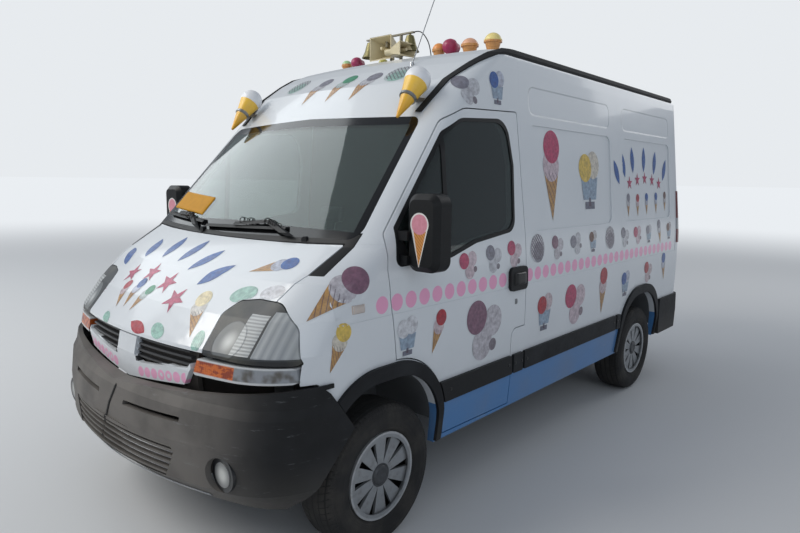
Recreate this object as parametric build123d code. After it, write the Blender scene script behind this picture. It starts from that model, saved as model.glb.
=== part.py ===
from build123d import *
import os
from math import atan2, cos, hypot, pi, sin, sqrt, tan

os.makedirs("parts", exist_ok=True)

# Every y below is measured rearwards from the front axle. +X is the van's left side, z = 0 the ground.
# The finished pieces are moved by TO_MIDDLE, which puts the origin on the ground at mid-length.

# Chassis and running gear
FRONT_OVERHANG = 830
WHEELBASE = 3078
REAR_OVERHANG = 960
LENGTH = FRONT_OVERHANG + WHEELBASE + REAR_OVERHANG
TO_MIDDLE = FRONT_OVERHANG - LENGTH / 2
FRONT_TRACK = 1740
REAR_TRACK = 1725
TYRE_R = 342
TYRE_W = 225
RIM_R = 208
RIM_W = 190
HUB_Z = TYRE_R
BORE_R = 31

# Body shell
BODY_HALF = 995
SILL_Z = 380
NOSE_Z = 985
COWL_Z = 1410
SCREEN_TOP_Z = 2050
ROOF_Z = 2486
NOSE_Y = -735
COWL_Y = -190
SCREEN_TOP_Y = 400
TAIL_Y = 3965
TAIL_CORNER = 70
WALL = 45
GAP = 6
SEAT_GAP = 0.3
STUB_R = BORE_R - SEAT_GAP

# Floor
FLOOR_Z = 543
FLOOR_T = 40
CAB_FLOOR_Z = FLOOR_Z - 12
BULKHEAD_Y = 1160
BULKHEAD_T = 30

# Wheel arches
ARCH_TOP = 813
ARCH_HALF = 386
ARCH_ROUND = 325
ARCH_TRIM_TOP = 70
ARCH_TRIM_SIDE = 38
TRIM_PROUD = 18

# Rear and sliding doors
REAR_DOOR_W = 1580
REAR_DOOR_TOP = 2324
REAR_DOOR_LOW = 490
SLIDE_DOOR_Y = 1230
SLIDE_DOOR_W = 1099
SLIDE_DOOR_TOP = 2030
HATCH_W = 820
HATCH_Z = 1470
HATCH_H = 500

# Plan sections of the outer skin, from the sill up: height, nose, bow radius, corner radius, half width, tail
SECTIONS = (
    (SILL_Z, NOSE_Y + 95, 3000, 330, BODY_HALF - 33, TAIL_Y),
    (SILL_Z + 180, NOSE_Y + 35, 3000, 340, BODY_HALF - 10, TAIL_Y),
    (NOSE_Z - 85, NOSE_Y, 3000, 360, BODY_HALF - 1, TAIL_Y),
    (NOSE_Z + 15, NOSE_Y + 20, 3000, 360, BODY_HALF, TAIL_Y),
    (NOSE_Z + 145, NOSE_Y + 125, 3200, 340, BODY_HALF - 2, TAIL_Y - 2),
    (NOSE_Z + 285, NOSE_Y + 285, 3600, 290, BODY_HALF - 7, TAIL_Y - 5),
    (COWL_Z, COWL_Y, 4500, 200, BODY_HALF - 19, TAIL_Y - 10),
    (SCREEN_TOP_Z, SCREEN_TOP_Y, 4200, 150, BODY_HALF - 79, TAIL_Y - 35),
    (ROOF_Z - 250, SCREEN_TOP_Y + 175, 4000, 150, BODY_HALF - 96, TAIL_Y - 45),
    (ROOF_Z - 143, SCREEN_TOP_Y + 335, 4000, 150, BODY_HALF - 106, TAIL_Y - 50),
)
# The rounded roof edge goes on from there: drop below the roof, nose, half width, tail
ROOF_EDGE = (
    (86, SCREEN_TOP_Y + 440, BODY_HALF - 113, TAIL_Y - 54),
    (46, SCREEN_TOP_Y + 540, BODY_HALF - 133, TAIL_Y - 74),
    (21, SCREEN_TOP_Y + 690, BODY_HALF - 185, TAIL_Y - 120),
    (6, SCREEN_TOP_Y + 930, BODY_HALF - 345, TAIL_Y - 220),
    (0, SCREEN_TOP_Y + 1300, BODY_HALF - 615, TAIL_Y - 400),
)
ROOF_BOW = 4000
ROOF_CORNER = 140


def keep(name, *solids):
    """Write the solids of one sub-part to its own file, in the finished frame."""
    made = [piece for solid in solids for piece in solid.solids()]
    moved = [piece.moved(Location((0, TO_MIDDLE, 0))) for piece in made if piece.volume > 500]
    export_step(Compound(children=moved) if len(moved) > 1 else moved[0], f"parts/{name}.step")


def both(solid):
    """The solid and its mirror image on the other side of the van."""
    return [solid, solid.mirror(Plane.YZ)]


def block(x0, x1, y0, y1, z0, z1):
    """A box between two values on each axis."""
    size = (x1 - x0, y1 - y0, z1 - z0)
    return Pos((x0 + x1) / 2, (y0 + y1) / 2, (z0 + z1) / 2) * Box(*size)


def outline(points, radii=0):
    """A closed wire through 2-D points, with each corner rounded by its radius."""
    radii = radii if isinstance(radii, (tuple, list)) else [radii] * len(points)
    count = len(points)
    ends = []
    for i, (x, y) in enumerate(points):
        (px, py), (nx, ny), r = points[i - 1], points[(i + 1) % count], radii[i]
        a = (px - x, py - y)
        b = (nx - x, ny - y)
        la, lb = hypot(*a), hypot(*b)
        a, b = (a[0] / la, a[1] / la), (b[0] / lb, b[1] / lb)
        half = atan2(abs(a[0] * b[1] - a[1] * b[0]), a[0] * b[0] + a[1] * b[1]) / 2
        if r == 0 or half > pi / 2 - 0.01:
            ends.append(((x, y), (x, y), (x, y)))
            continue
        cut = r / tan(half)
        mid = (a[0] + b[0], a[1] + b[1])
        lm = hypot(*mid)
        reach = r / sin(half) - r
        ends.append((
            (x + a[0] * cut, y + a[1] * cut),
            (x + mid[0] / lm * reach, y + mid[1] / lm * reach),
            (x + b[0] * cut, y + b[1] * cut),
        ))
    edges = []
    for i in range(count):
        first, middle, last = ends[i]
        if first != last:
            edges.append(Edge.make_three_point_arc(first, middle, last))
        edges.append(Edge.make_line(last, ends[(i + 1) % count][0]))
    return Wire(edges)


def side_prism(points, x0, x1, radii=0):
    """An outline in y and z, as seen from the left, carried from x0 to x1."""
    face = Face(outline(points, radii))
    turned = Plane(origin=(0, 0, 0), x_dir=(0, 1, 0), z_dir=(1, 0, 0)) * face
    return Pos(x0, 0, 0) * extrude(turned, x1 - x0, dir=(1, 0, 0))


def front_prism(points, y0, y1, radii=0):
    """An outline in x and z, as seen from the front, carried from y0 to y1."""
    face = Face(outline(points, radii))
    turned = Plane(origin=(0, 0, 0), x_dir=(1, 0, 0), z_dir=(0, -1, 0)) * face
    return Pos(0, y0, 0) * extrude(turned, y1 - y0, dir=(0, 1, 0))


def plan_prism(points, z0, z1, radii=0):
    """An outline in x and y carried from z0 up to z1."""
    return Pos(0, 0, z0) * extrude(Face(outline(points, radii)), z1 - z0, dir=(0, 0, 1))


def plan_wire(z, nose, bow, corner, half, tail, tail_corner):
    """A plan section: bowed front, two rounded front corners, straight sides and a flat tail."""
    cx = half - corner
    cy = nose + bow - sqrt((bow - corner) ** 2 - cx ** 2)
    reach = bow / (bow - corner)
    tx, ty = cx * reach, nose + bow + (cy - nose - bow) * reach
    lean = atan2(nose + bow - ty, tx) / 2
    mx, my = cx + corner * cos(lean), cy - corner * sin(lean)
    t = tail_corner * (1 - sqrt(0.5))
    edges = []
    right = [(-tx, ty), (-mx, my), (-half, cy)]
    left = [(tx, ty), (mx, my), (half, cy)]
    edges.append(Edge.make_three_point_arc((-tx, ty, z), (0, nose, z), (tx, ty, z)))
    edges.append(Edge.make_three_point_arc(*[(x, y, z) for x, y in left]))
    edges.append(Edge.make_line((half, cy, z), (half, tail - tail_corner, z)))
    edges.append(Edge.make_three_point_arc(
        (half, tail - tail_corner, z), (half - t, tail - t, z), (half - tail_corner, tail, z)))
    edges.append(Edge.make_line((half - tail_corner, tail, z), (tail_corner - half, tail, z)))
    edges.append(Edge.make_three_point_arc(
        (tail_corner - half, tail, z), (t - half, tail - t, z), (-half, tail - tail_corner, z)))
    edges.append(Edge.make_line((-half, tail - tail_corner, z), (-half, cy, z)))
    edges.append(Edge.make_three_point_arc(*[(x, y, z) for x, y in reversed(right)]))
    return Wire(edges)


def hull(inset, below=0):
    """The skin's form, moved inwards by inset, standing open by below under the sill."""
    wires = []
    for i, (z, nose, bow, corner, half, tail) in enumerate(SECTIONS):
        above = SECTIONS[min(i + 1, len(SECTIONS) - 1)]
        under = SECTIONS[max(i - 1, 0)]
        run, rise = above[1] - under[1], above[0] - under[0]
        back = inset * hypot(run, rise) / rise
        low = z - below if i == 0 else z
        wires.append(plan_wire(low, nose + back, bow - inset, corner - inset, half - inset, tail - inset,
                               TAIL_CORNER - inset))
    for drop, nose, half, tail in ROOF_EDGE:
        wires.append(plan_wire(ROOF_Z - drop - inset, nose + inset, ROOF_BOW - inset, ROOF_CORNER - inset,
                               half - inset, tail - inset, TAIL_CORNER - inset))
    return Solid.make_loft(wires, ruled=True)


OUTER = hull(0)
INNER = hull(WALL, 60)
SHELL = OUTER - INNER

# Lines of the front doors, in y and z: the shut line all round, and the window with its mirror corner
ARCH_LINE = ARCH_HALF + ARCH_TRIM_SIDE
DOOR_X = 800
DOOR_LINE = (
    (ARCH_LINE + 32, 412), (ARCH_LINE + 10, 560), (62, 800), (62, 900),
    (8, 1310), (22, 1465), (485, 2004), (640, 2074), (1151, 2097), (1197, 1385), (1202, 865), (1060, 862),
    (1058, 760), (1086, 402),
)
DOOR_ROUND = (0, 0, 0, 0, 0, 60, 120, 200, 20, 0, 0, 50, 0, 0)
WINDOW_LINE = (
    (62, 1316), (74, 1496), (462, 1950), (610, 2026), (1045, 2054), (1100, 1800), (1088, 1430), (700, 1386),
    (472, 1326),
)
WINDOW_ROUND = (40, 20, 90, 160, 120, 0, 80, 200, 200)

# Lines seen from the front, in x and z
SCREEN_LINE = (
    (-872, 1442), (-792, 2026), (0, 2048), (792, 2026), (872, 1442), (0, 1424),
)
SCREEN_ROUND = (50, 60, 0, 60, 50, 0)
LAMP_LINE = (
    (560, 978), (548, 1139), (590, 1186), (680, 1200), (800, 1196), (905, 1110), (952, 968),
)
LAMP_ROUND = (10, 40, 40, 80, 90, 90, 12)
BONNET_LINE = (
    (816, -108), (804, -301), (765, -441), (556, -560), (556, -900),
)
BONNET_SWEEP = 3680
BELT_Z0 = 1108
BELT_Z1 = 1204
BELT_DEEP = 3
# The seam between roof and side panels, up from the windscreen's corner, in x and z
ROOF_SEAM = ((757, 2050), (793, 2225), (866, 2425))


def arch_region(axle_y, wider, higher, x0, x1):
    """The wheel arch's opening, made wider and higher: upright sides and round corners to a flat top."""
    half = ARCH_HALF + wider
    top = ARCH_TOP + higher
    points = ((axle_y - half, 100), (axle_y - half, top), (axle_y + half, top), (axle_y + half, 100))
    return side_prism(points, x0, x1, (0, ARCH_ROUND + wider, ARCH_ROUND + wider, 0))


ARCHES = [arch_region(y, 0, 0, side * 560, side * 1100) for y in (0, WHEELBASE) for side in (-1, 1)]
PROUD = hull(-TRIM_PROUD) - OUTER
REBATE = OUTER - hull(12)
BELT = (OUTER - hull(BELT_DEEP)) & block(DOOR_X, 1100, -300, TAIL_Y - 120, BELT_Z0, BELT_Z1)


def grown(points, by):
    """An outline's points moved outwards by the same distance all round."""
    face = Face(Wire.make_polygon([(x, y) for x, y in points], close=True))
    turn = 1 if face.normal_at().Z > 0 else -1
    count = len(points)
    result = []
    for i, (x, y) in enumerate(points):
        (px, py), (nx, ny) = points[i - 1], points[(i + 1) % count]
        ax, ay = x - px, y - py
        bx, by_ = nx - x, ny - y
        la, lb = hypot(ax, ay), hypot(bx, by_)
        n1 = (turn * ay / la, -turn * ax / la)
        n2 = (turn * by_ / lb, -turn * bx / lb)
        k = by / (1 + n1[0] * n2[0] + n1[1] * n2[1])
        result.append((x + (n1[0] + n2[0]) * k, y + (n1[1] + n2[1]) * k))
    return result


def mirrored(points):
    return [(-x, y) for x, y in points]


# Bonnet zone in plan, closed at the rear by the line along the scuttle
BONNET_PLAN = (*BONNET_LINE, *reversed(mirrored(BONNET_LINE)), (0, COWL_Y - 102))
BONNET_REAR = (0, 0, 0, 0, 0, 0, 0, 0, 0, 0, BONNET_SWEEP)

bonnet_zone = plan_prism(BONNET_PLAN, NOSE_Z, 1600, BONNET_REAR)
bonnet_cut = plan_prism(grown(BONNET_PLAN, GAP), NOSE_Z - GAP, 1600, BONNET_REAR)
lamp_zone = front_prism(LAMP_LINE, -900, -200, LAMP_ROUND)
lamp_cut = front_prism(grown(LAMP_LINE, 4), -900, -200, LAMP_ROUND)
lamp_cuts = both(lamp_cut)

# Bonnet, from the grille to the scuttle
hood_skin = OUTER - hull(32, 60)
bonnet = (hood_skin & bonnet_zone) - lamp_cuts
keep("bonnet", bonnet)

# Head lamps and the long indicators under them
flange_zone = front_prism(grown(LAMP_LINE, 18), -900, -200, LAMP_ROUND) - block(0, 1100, -900, 0, 0, 966)
lamp = (OUTER - hull(60)) & lamp_zone
keep("headlamps", *both(lamp + ((hull(WALL + SEAT_GAP) - hull(60)) & flange_zone)))
INDICATOR_LINE = ((522, 890), (534, 960), (940, 960), (948, 894))
indicator = (OUTER - hull(50)) & front_prism(INDICATOR_LINE, -900, -200, (10, 10, 14, 14))
tab = (hull(WALL + SEAT_GAP) - hull(54)) & block(900, 1100, -900, -200, 900, 950)
indicator = indicator + tab
indicator_cuts = both(front_prism(grown(INDICATOR_LINE, 4), -900, -200, 12))
keep("indicators", *both(indicator))

# Front doors
EDGE = 4
door_zone = side_prism(DOOR_LINE, DOOR_X, 1100, DOOR_ROUND) - arch_region(
    0, ARCH_TRIM_SIDE + EDGE + GAP, ARCH_TRIM_TOP + EDGE + GAP, 500, 1200)
door_cut = side_prism(grown(DOOR_LINE, GAP), DOOR_X - 10, 1100, DOOR_ROUND) - arch_region(
    0, ARCH_TRIM_SIDE + EDGE, ARCH_TRIM_TOP + EDGE, 500, 1200)
window_seat = side_prism(WINDOW_LINE, DOOR_X, 1100, WINDOW_ROUND)
window_hole = side_prism(grown(WINDOW_LINE, -20), DOOR_X - 50, 1100, WINDOW_ROUND)
RUB_Z0 = 592
RUB_Z1 = 704
door = (SHELL & door_zone) - window_hole - (REBATE & window_seat) - BELT
QUARTER_Y = 450
divider = block(DOOR_X, 1100, QUARTER_Y - 16, QUARTER_Y + 16, 1300, 2100)
SAIL_LINE = ((52, 1316), (50, 1500), (64, 1520), (190, 1312), (180, 1306))
sail = side_prism(SAIL_LINE, DOOR_X, 1100)
seal_skin = OUTER - hull(11.7)
glazed = window_hole - divider - sail
glass = (seal_skin & window_seat & glazed) & (hull(5) - hull(9))
seal = (seal_skin & window_seat) - glazed
rub_door = PROUD & (side_prism(((300, RUB_Z0), (300, RUB_Z1), (1054, RUB_Z1), (1068, RUB_Z0)), 900, 1100, 8)
                    - arch_region(0, ARCH_TRIM_SIDE + EDGE + GAP, ARCH_TRIM_TOP + EDGE + GAP, 500, 1200))
HANDLE_Y = 1010
HANDLE_L = 185
HANDLE_Z = 1155
HANDLE_H = 136
handle_line = [(HANDLE_Y + y, HANDLE_Z + z) for y, z in (
    (0, -HANDLE_H / 2), (0, HANDLE_H / 2), (HANDLE_L, HANDLE_H / 2), (HANDLE_L, -HANDLE_H / 2))]
handle = PROUD & side_prism(handle_line, 900, 1100, 30)
for side, flip in (("left", False), ("right", True)):
    turn = (lambda s: s.mirror(Plane.YZ)) if flip else (lambda s: s)
    keep(f"front_door_{side}", turn(door))
    keep(f"door_glass_{side}", turn(glass))
    keep(f"door_trim_{side}", turn(seal), turn(rub_door), turn(handle))

# Door mirrors, each on two arms from the sail panel
MIRROR_W = 185
MIRROR_H = 350
MIRROR_D = 100
MIRROR_OUT = 1180
MIRROR_Y = 105
MIRROR_Z = 1300
housing = block(MIRROR_OUT - MIRROR_W, MIRROR_OUT, MIRROR_Y, MIRROR_Y + MIRROR_D, MIRROR_Z, MIRROR_Z + MIRROR_H)
housing = fillet(housing.edges().filter_by(Axis.Y), 55)
housing = chamfer(housing.faces().sort_by(Axis.Y)[0].edges(), 26)
arms = [block(BODY_HALF - 40, MIRROR_OUT - MIRROR_W + 30, 85, MIRROR_Y + 30, z, z + 42) for z in (1330, 1440)]
mirror = (housing + arms) - hull(-SEAT_GAP)
for side, flip in (("left", False), ("right", True)):
    keep(f"mirror_{side}", mirror.mirror(Plane.YZ) if flip else mirror)

# Windscreen, bedded in a rebate
SCREEN_Y = 640
screen_seat = front_prism(SCREEN_LINE, -600, SCREEN_Y, SCREEN_ROUND)
screen_hole = front_prism(grown(SCREEN_LINE, -25), -600, SCREEN_Y, SCREEN_ROUND)
screen_pane = front_prism(grown(SCREEN_LINE, -SEAT_GAP), -600, SCREEN_Y, SCREEN_ROUND)
screen = (OUTER - hull(11.7)) & screen_pane
keep("windscreen", screen)

# Front wings: everything of the shell ahead of the doors that bonnet, lamps and grille leave
PILLAR_Z = 1425
GRILLE_HALF = 500
GRILLE_LOW = 785
wing_zone = block(0, 1100, -900, ARCH_LINE + 32, SILL_Z, PILLAR_Z)
wing = (SHELL & wing_zone) - door_cut - bonnet_cut - lamp_cuts - indicator_cuts - ARCHES
grille_cut = block(-GRILLE_HALF - 28, GRILLE_HALF + 28, -900, -400, SILL_Z - 10, 1100)
nose_cut = block(-950, 950, -900, -405, SILL_Z - 10, 978)
BUMPER_END = ((-404, 882), (-350, 839), (-217, 655), (-485, 370))
bumper_side = ((-1000, 300), (-1000, 882), *BUMPER_END, (-500, 300))
bumper_cut = side_prism(grown(bumper_side, 3), -1100, 1100)
scuttle_gap = block(-872, 872, -330, 200, 1300, 1470)
wing = wing - grille_cut - nose_cut - bumper_cut - scuttle_gap
wing = (wing - BELT).solids().sort_by(SortBy.VOLUME)[-1]
for side, flip in (("left", False), ("right", True)):
    keep(f"wing_{side}", wing.mirror(Plane.YZ) if flip else wing)

# Grille panel: a white bar with a central spine, two dark slatted openings
GRILLE_LINE = (
    (-455, 832), (-505, 912), (-470, 979), (470, 979), (505, 912), (455, 832), (0, GRILLE_LOW - 5),
)
GRILLE_ROUND = (6, 10, 6, 6, 10, 6, 0)
VENT_LINE = ((90, 1100), (84, 900), (124, 868), (484, 912), (500, 940), (470, 1100))
VENT_ROUND = (0, 20, 26, 14, 6, 0)
vents = both(front_prism(VENT_LINE, -900, -500, VENT_ROUND))
grille_skin = OUTER - hull(25)
frame = (grille_skin & front_prism(GRILLE_LINE, -900, -400, GRILLE_ROUND)) - vents
slat_skin = hull(12) - hull(32)
slats = []
for z in (892, 918, 944, 970):
    bar = slat_skin & block(-500, 500, -900, -400, z, z + 9)
    slats.append(bar & front_prism(grown(GRILLE_LINE, -3), -900, -400))
keep("grille_panel", frame.fuse(*slats))

# Scuttle: the plastic strip between bonnet and windscreen
scuttle_zone = block(-868, 868, -330, 196, 1300, 1464) - bonnet_cut
scuttle = ((OUTER - hull(30)) & scuttle_zone) - screen_seat - block(-1100, 1100, -900, -100, 0, 1300)
keep("scuttle", scuttle.solids().sort_by(SortBy.VOLUME)[-1])

# Wipers: pivot, cranked arm and blade of each, as lines in x and z over the screen
WIPER_ARMS = (((588, 1414), (303, 1497), (60, 1476)), ((-232, 1414), (-451, 1499), (-600, 1500)))
WIPER_BLADES = (((-202, 1452), (435, 1470)), ((-764, 1488), (-272, 1468)))


def ribbon(points, width):
    """Straps of one width along a line of points in x and z, as prisms through the screen."""
    straps = []
    for (ax, az), (bx, bz) in zip(points, points[1:]):
        run = hypot(bx - ax, bz - az)
        tx, tz = (bx - ax) / run * width / 2, (bz - az) / run * width / 2
        corners = ((ax - tx - tz, az - tz + tx), (bx + tx - tz, bz + tz + tx),
                   (bx + tx + tz, bz + tz - tx), (ax - tx + tz, az - tz - tx))
        straps.append(front_prism(corners, -400, 100))
    return straps


wipers = []
arm_skin = hull(-24) - hull(-14)
blade_skin = hull(-16) - hull(-SEAT_GAP)
pivot_skin = hull(-22) - hull(-SEAT_GAP)
for arm_line, blade_line in zip(WIPER_ARMS, WIPER_BLADES):
    pieces = [arm_skin & strap for strap in ribbon(arm_line, 16)]
    pieces += [blade_skin & strap for strap in ribbon(blade_line, 12)]
    px, pz = arm_line[0]
    pieces.append(pivot_skin & (Pos(px, -200, pz + 12) * Rot(90, 0, 0) * Cylinder(16, 400)))
    wiper = pieces[0].fuse(*pieces[1:]) - plan_prism(grown(BONNET_PLAN, GAP + 2), NOSE_Z, 1600, BONNET_REAR)
    wipers.append(wiper)
keep("wipers", *wipers)

# Side panels with the windscreen pillars, door frames and roof rails
roof_side = [*ROOF_SEAM, (ROOF_SEAM[-1][0], 2600)]
roof_zone = front_prism([*roof_side, *reversed(mirrored(roof_side))], 0, 4200)
rear_zone = block(-REAR_DOOR_W / 2, REAR_DOOR_W / 2, 3800, 4100, REAR_DOOR_LOW, REAR_DOOR_TOP)
rear_cut = block(-REAR_DOOR_W / 2 - GAP, REAR_DOOR_W / 2 + GAP, 3800, 4100, SILL_Z - 10, REAR_DOOR_TOP + GAP)
panel_zone = block(0, 1100, -300, 4200, SILL_Z, 2600) - block(0, 1100, -900, ARCH_LINE + 33, 0, PILLAR_Z + SEAT_GAP)
panel = (SHELL & panel_zone) - door_cut - roof_zone - rear_cut - ARCHES - scuttle_gap - bonnet_cut
panel = panel - screen_hole - (REBATE & screen_seat)
BUFFER_X = BODY_HALF - 60
buffer = block(BUFFER_X, BUFFER_X + 20, 960, 1000, SILL_Z + 5, 402 - SEAT_GAP)
panel = (panel - BELT) + buffer

# Rear door hinges: the axis stands behind the doors, with one leaf on the pillar and one on the door
HINGE_X = REAR_DOOR_W / 2 + 2
HINGE_Y = TAIL_Y + 41
HINGE_R = 11
LEAF_H = 40
LEAF_L = 66
HINGE_HEIGHTS = (760, 1690, 2150)


def leaves(side, drop):
    """The leaves on one side of the left hinge axis, each a knuckle and an arm to the skin."""
    made = []
    for z in HINGE_HEIGHTS:
        barrel = Pos(HINGE_X, HINGE_Y, z - drop + LEAF_H / 2) * Cylinder(HINGE_R, LEAF_H)
        x0, x1 = sorted((HINGE_X, HINGE_X + side * LEAF_L))
        foot0, foot1 = sorted((HINGE_X + side * 12, HINGE_X + side * LEAF_L))
        arm = block(x0, x1, HINGE_Y - HINGE_R, HINGE_Y, z - drop, z - drop + LEAF_H)
        foot = block(foot0, foot1, TAIL_Y - 80, HINGE_Y - 1, z - drop, z - drop + LEAF_H)
        made.append(barrel.fuse(arm, foot - hull(4)))
    return made


panel = panel.fuse(*leaves(1, LEAF_H + GAP))

# Pressed recesses above the waist: two on the left, and only the rear one beside the sliding door
RECESS_T = 9
RECESS_Z0 = 1416
RECESS_Z1 = 2040
RECESSES = ((1286, 2445), (2668, 3700))
recess_skin = OUTER - hull(RECESS_T)
recesses = []
for y0, y1 in RECESSES:
    recess_line = ((y0, RECESS_Z0), (y0, RECESS_Z1), (y1, RECESS_Z1), (y1, RECESS_Z0))
    recesses.append(recess_skin & side_prism(recess_line, 700, 1100, 60))

# Each side is four pressings: windscreen pillar with the rail over the door, lower side, upper side, rear corner
SEAM_Z = (BELT_Z0 + BELT_Z1) / 2
FRAME_END = BULKHEAD_Y + BULKHEAD_T
CORNER_START = TAIL_Y - 105
pillar = panel & block(-10, 1100, -400, FRAME_END - SEAT_GAP, SEAM_Z + SEAT_GAP, 2600)
lower_side = panel & block(-10, 1100, -400, CORNER_START - SEAT_GAP, SILL_Z - 10, SEAM_Z)
upper_side = panel & block(-10, 1100, FRAME_END, CORNER_START - SEAT_GAP, SEAM_Z + SEAT_GAP, 2600)
corner = panel & block(-10, 1100, CORNER_START, 4200, SILL_Z - 10, 2600)
keep("side_panel_left", pillar, lower_side, upper_side - recesses, corner)

# Sliding door and serving hatch, on the right
SLIDE_LINE = (
    (SLIDE_DOOR_Y, SILL_Z + 20), (SLIDE_DOOR_Y, SLIDE_DOOR_TOP),
    (SLIDE_DOOR_Y + SLIDE_DOOR_W, SLIDE_DOOR_TOP), (SLIDE_DOOR_Y + SLIDE_DOOR_W, SILL_Z + 20),
)
SLIDE_ROUND = (20, 60, 60, 20)
slide_zone = side_prism(SLIDE_LINE, -1100, -DOOR_X, SLIDE_ROUND)
slide_cut = side_prism(grown(SLIDE_LINE, GAP), -1100, -DOOR_X + 10, SLIDE_ROUND)
HATCH_Y = SLIDE_DOOR_Y + (SLIDE_DOOR_W - HATCH_W) / 2
HATCH_LINE = (
    (HATCH_Y, HATCH_Z), (HATCH_Y, HATCH_Z + HATCH_H), (HATCH_Y + HATCH_W, HATCH_Z + HATCH_H),
    (HATCH_Y + HATCH_W, HATCH_Z),
)
hatch_seat = side_prism(HATCH_LINE, -1100, -DOOR_X, 50)
hatch_hole = side_prism(grown(HATCH_LINE, -20), -1100, -DOOR_X + 40, 40)
hatch_pane = side_prism(grown(HATCH_LINE, -SEAT_GAP), -1100, -DOOR_X, 50)
slide_door = (SHELL & slide_zone) - hatch_hole - (REBATE & hatch_seat) - BELT.mirror(Plane.YZ)
keep("sliding_door", slide_door)
keep("serving_window", (OUTER - hull(11.7)) & hatch_pane)
slide_buffer = block(-BUFFER_X - 20, -BUFFER_X, 1700, 1760, SILL_Z + 5, SILL_Z + 20 - SEAT_GAP)
right_lower = (lower_side.mirror(Plane.YZ) - slide_cut) + slide_buffer
right_upper = (upper_side - recesses[1]).mirror(Plane.YZ) - slide_cut
keep("side_panel_right", pillar.mirror(Plane.YZ), right_lower, right_upper, corner.mirror(Plane.YZ))

# Roof, down to the windscreen in front and to the rear doors behind
roof = (SHELL & roof_zone) - rear_cut - screen_hole - (REBATE & screen_seat)
keep("roof_panel", roof)

# Rear doors
rear_door = (SHELL & rear_zone) & block(4, 1000, 3800, 4100, 0, 2600)
rear_door = rear_door.fuse(*leaves(-1, 0))
for side, flip in (("left", False), ("right", True)):
    keep(f"rear_door_{side}", rear_door.mirror(Plane.YZ) if flip else rear_door)

# Tail lamps at the rear corners
LAMP_Z0 = 1180
LAMP_Z1 = 1640
tail_zone = block(REAR_DOOR_W / 2 + 30, 1100, TAIL_Y - 105, 4100, LAMP_Z0, LAMP_Z1)
keep("tail_lamps", *both((hull(-8) - OUTER) & tail_zone))

# Rub strips and wheel arch trims on the body
def strip(y0, y1, x0=900, x1=1100):
    """One length of the side rub strip."""
    return PROUD & side_prism(((y0 + 6, RUB_Z0), (y0, RUB_Z1), (y1 - 6, RUB_Z1), (y1, RUB_Z0)), x0, x1, 8)


def arch_trim(axle_y):
    """The moulding round one left wheel arch."""
    ring = arch_region(axle_y, ARCH_TRIM_SIDE, ARCH_TRIM_TOP, 900, 1100) - arch_region(axle_y, 0, 0, 880, 1200)
    return PROUD & (ring & block(900, 1100, -3000, 5000, SILL_Z + 10, 1000))


STRIPS = ((1078, 1190), (1202, 2565), (2577, WHEELBASE - ARCH_LINE - 2))
mouldings = []
front_trim = (arch_trim(0) - bumper_cut).solids().sort_by(SortBy.VOLUME)[-1]
for piece in [front_trim, arch_trim(WHEELBASE)] + [strip(*row) for row in STRIPS]:
    mouldings.extend(both(piece))
keep("side_mouldings", *mouldings)

# Front bumper: sections from the lower lip to the top ledge, as height, nose, bow, corner, half width
BUMPER_NOSE = -FRONT_OVERHANG
BUMPER_SECTIONS = (
    (350, BUMPER_NOSE + 110, 2300, 330, 965),
    (410, BUMPER_NOSE + 50, 2300, 330, 990),
    (450, BUMPER_NOSE + 6, 2300, 330, 1000),
    (620, BUMPER_NOSE, 2300, 330, 1008),
    (760, BUMPER_NOSE + 22, 2400, 330, 1010),
    (800, BUMPER_NOSE + 48, 2500, 330, 1006),
    (890, BUMPER_NOSE + 70, 2600, 330, 1000),
)
BUMPER_WALL = 25


def bumper_form(inset, stretch=0):
    """The bumper's outer form moved inwards, with its ends stretched past the cut faces."""
    wires = []
    last = len(BUMPER_SECTIONS) - 1
    for i, (z, nose, bow, corner, half) in enumerate(BUMPER_SECTIONS):
        z = z - stretch if i == 0 else z + stretch if i == last else z
        wires.append(plan_wire(z, nose + inset, bow - inset, corner - inset, half - inset, 400, 60 - inset))
    return Solid.make_loft(wires, ruled=True)


bumper = (bumper_form(0) - bumper_form(BUMPER_WALL, 20)) & side_prism(bumper_side, -1100, 1100)
BUMPER_TOP = ((-1100, 300), (-1100, 878), (-960, 876), (-540, 822), (0, 778), (540, 822), (960, 876), (1100, 878),
              (1100, 300))
bumper = bumper & front_prism(BUMPER_TOP, -1000, 0)
ledge = (bumper_form(0) - hull(-3, 60)) & block(-1100, 1100, -1000, -330, 740, 1000)
LEDGE_T = 18
ledge_under = front_prism([(x, z - LEDGE_T) for x, z in BUMPER_TOP], -1000, 0)
ledge = (ledge & front_prism(BUMPER_TOP, -1000, 0)) - ledge_under
FOG_X = 735
FOG_Z = 520
FOG_R = 52
INTAKE_LINE = ((-430, 438), (-500, 585), (500, 585), (430, 438))
SLOT_LINE = ((120, 690), (126, 712), (520, 722), (514, 698))
fog_holes = [Pos(side * FOG_X, -600, FOG_Z) * Rot(90, 0, 0) * Cylinder(FOG_R + 22, 700) for side in (-1, 1)]
intake = front_prism(INTAKE_LINE, -1000, -600, 20)
slots = both(front_prism(SLOT_LINE, -1000, -600, 6))
plate_seat = front_prism(((-265, 600), (-265, 672), (265, 672), (265, 600)), -1000, BUMPER_NOSE + 8, 8)
bumper = (bumper + ledge) - fog_holes - intake - slots - plate_seat
blades = []
for z in (452, 480, 508, 536, 564):
    rib = (bumper_form(4) - bumper_form(22)) & block(-520, 520, -1000, -600, z, z + 10)
    blades.append(rib & front_prism(grown(INTAKE_LINE, 4), -1000, -600))
bumper = bumper.fuse(*blades)
keep("front_bumper", bumper)

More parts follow.
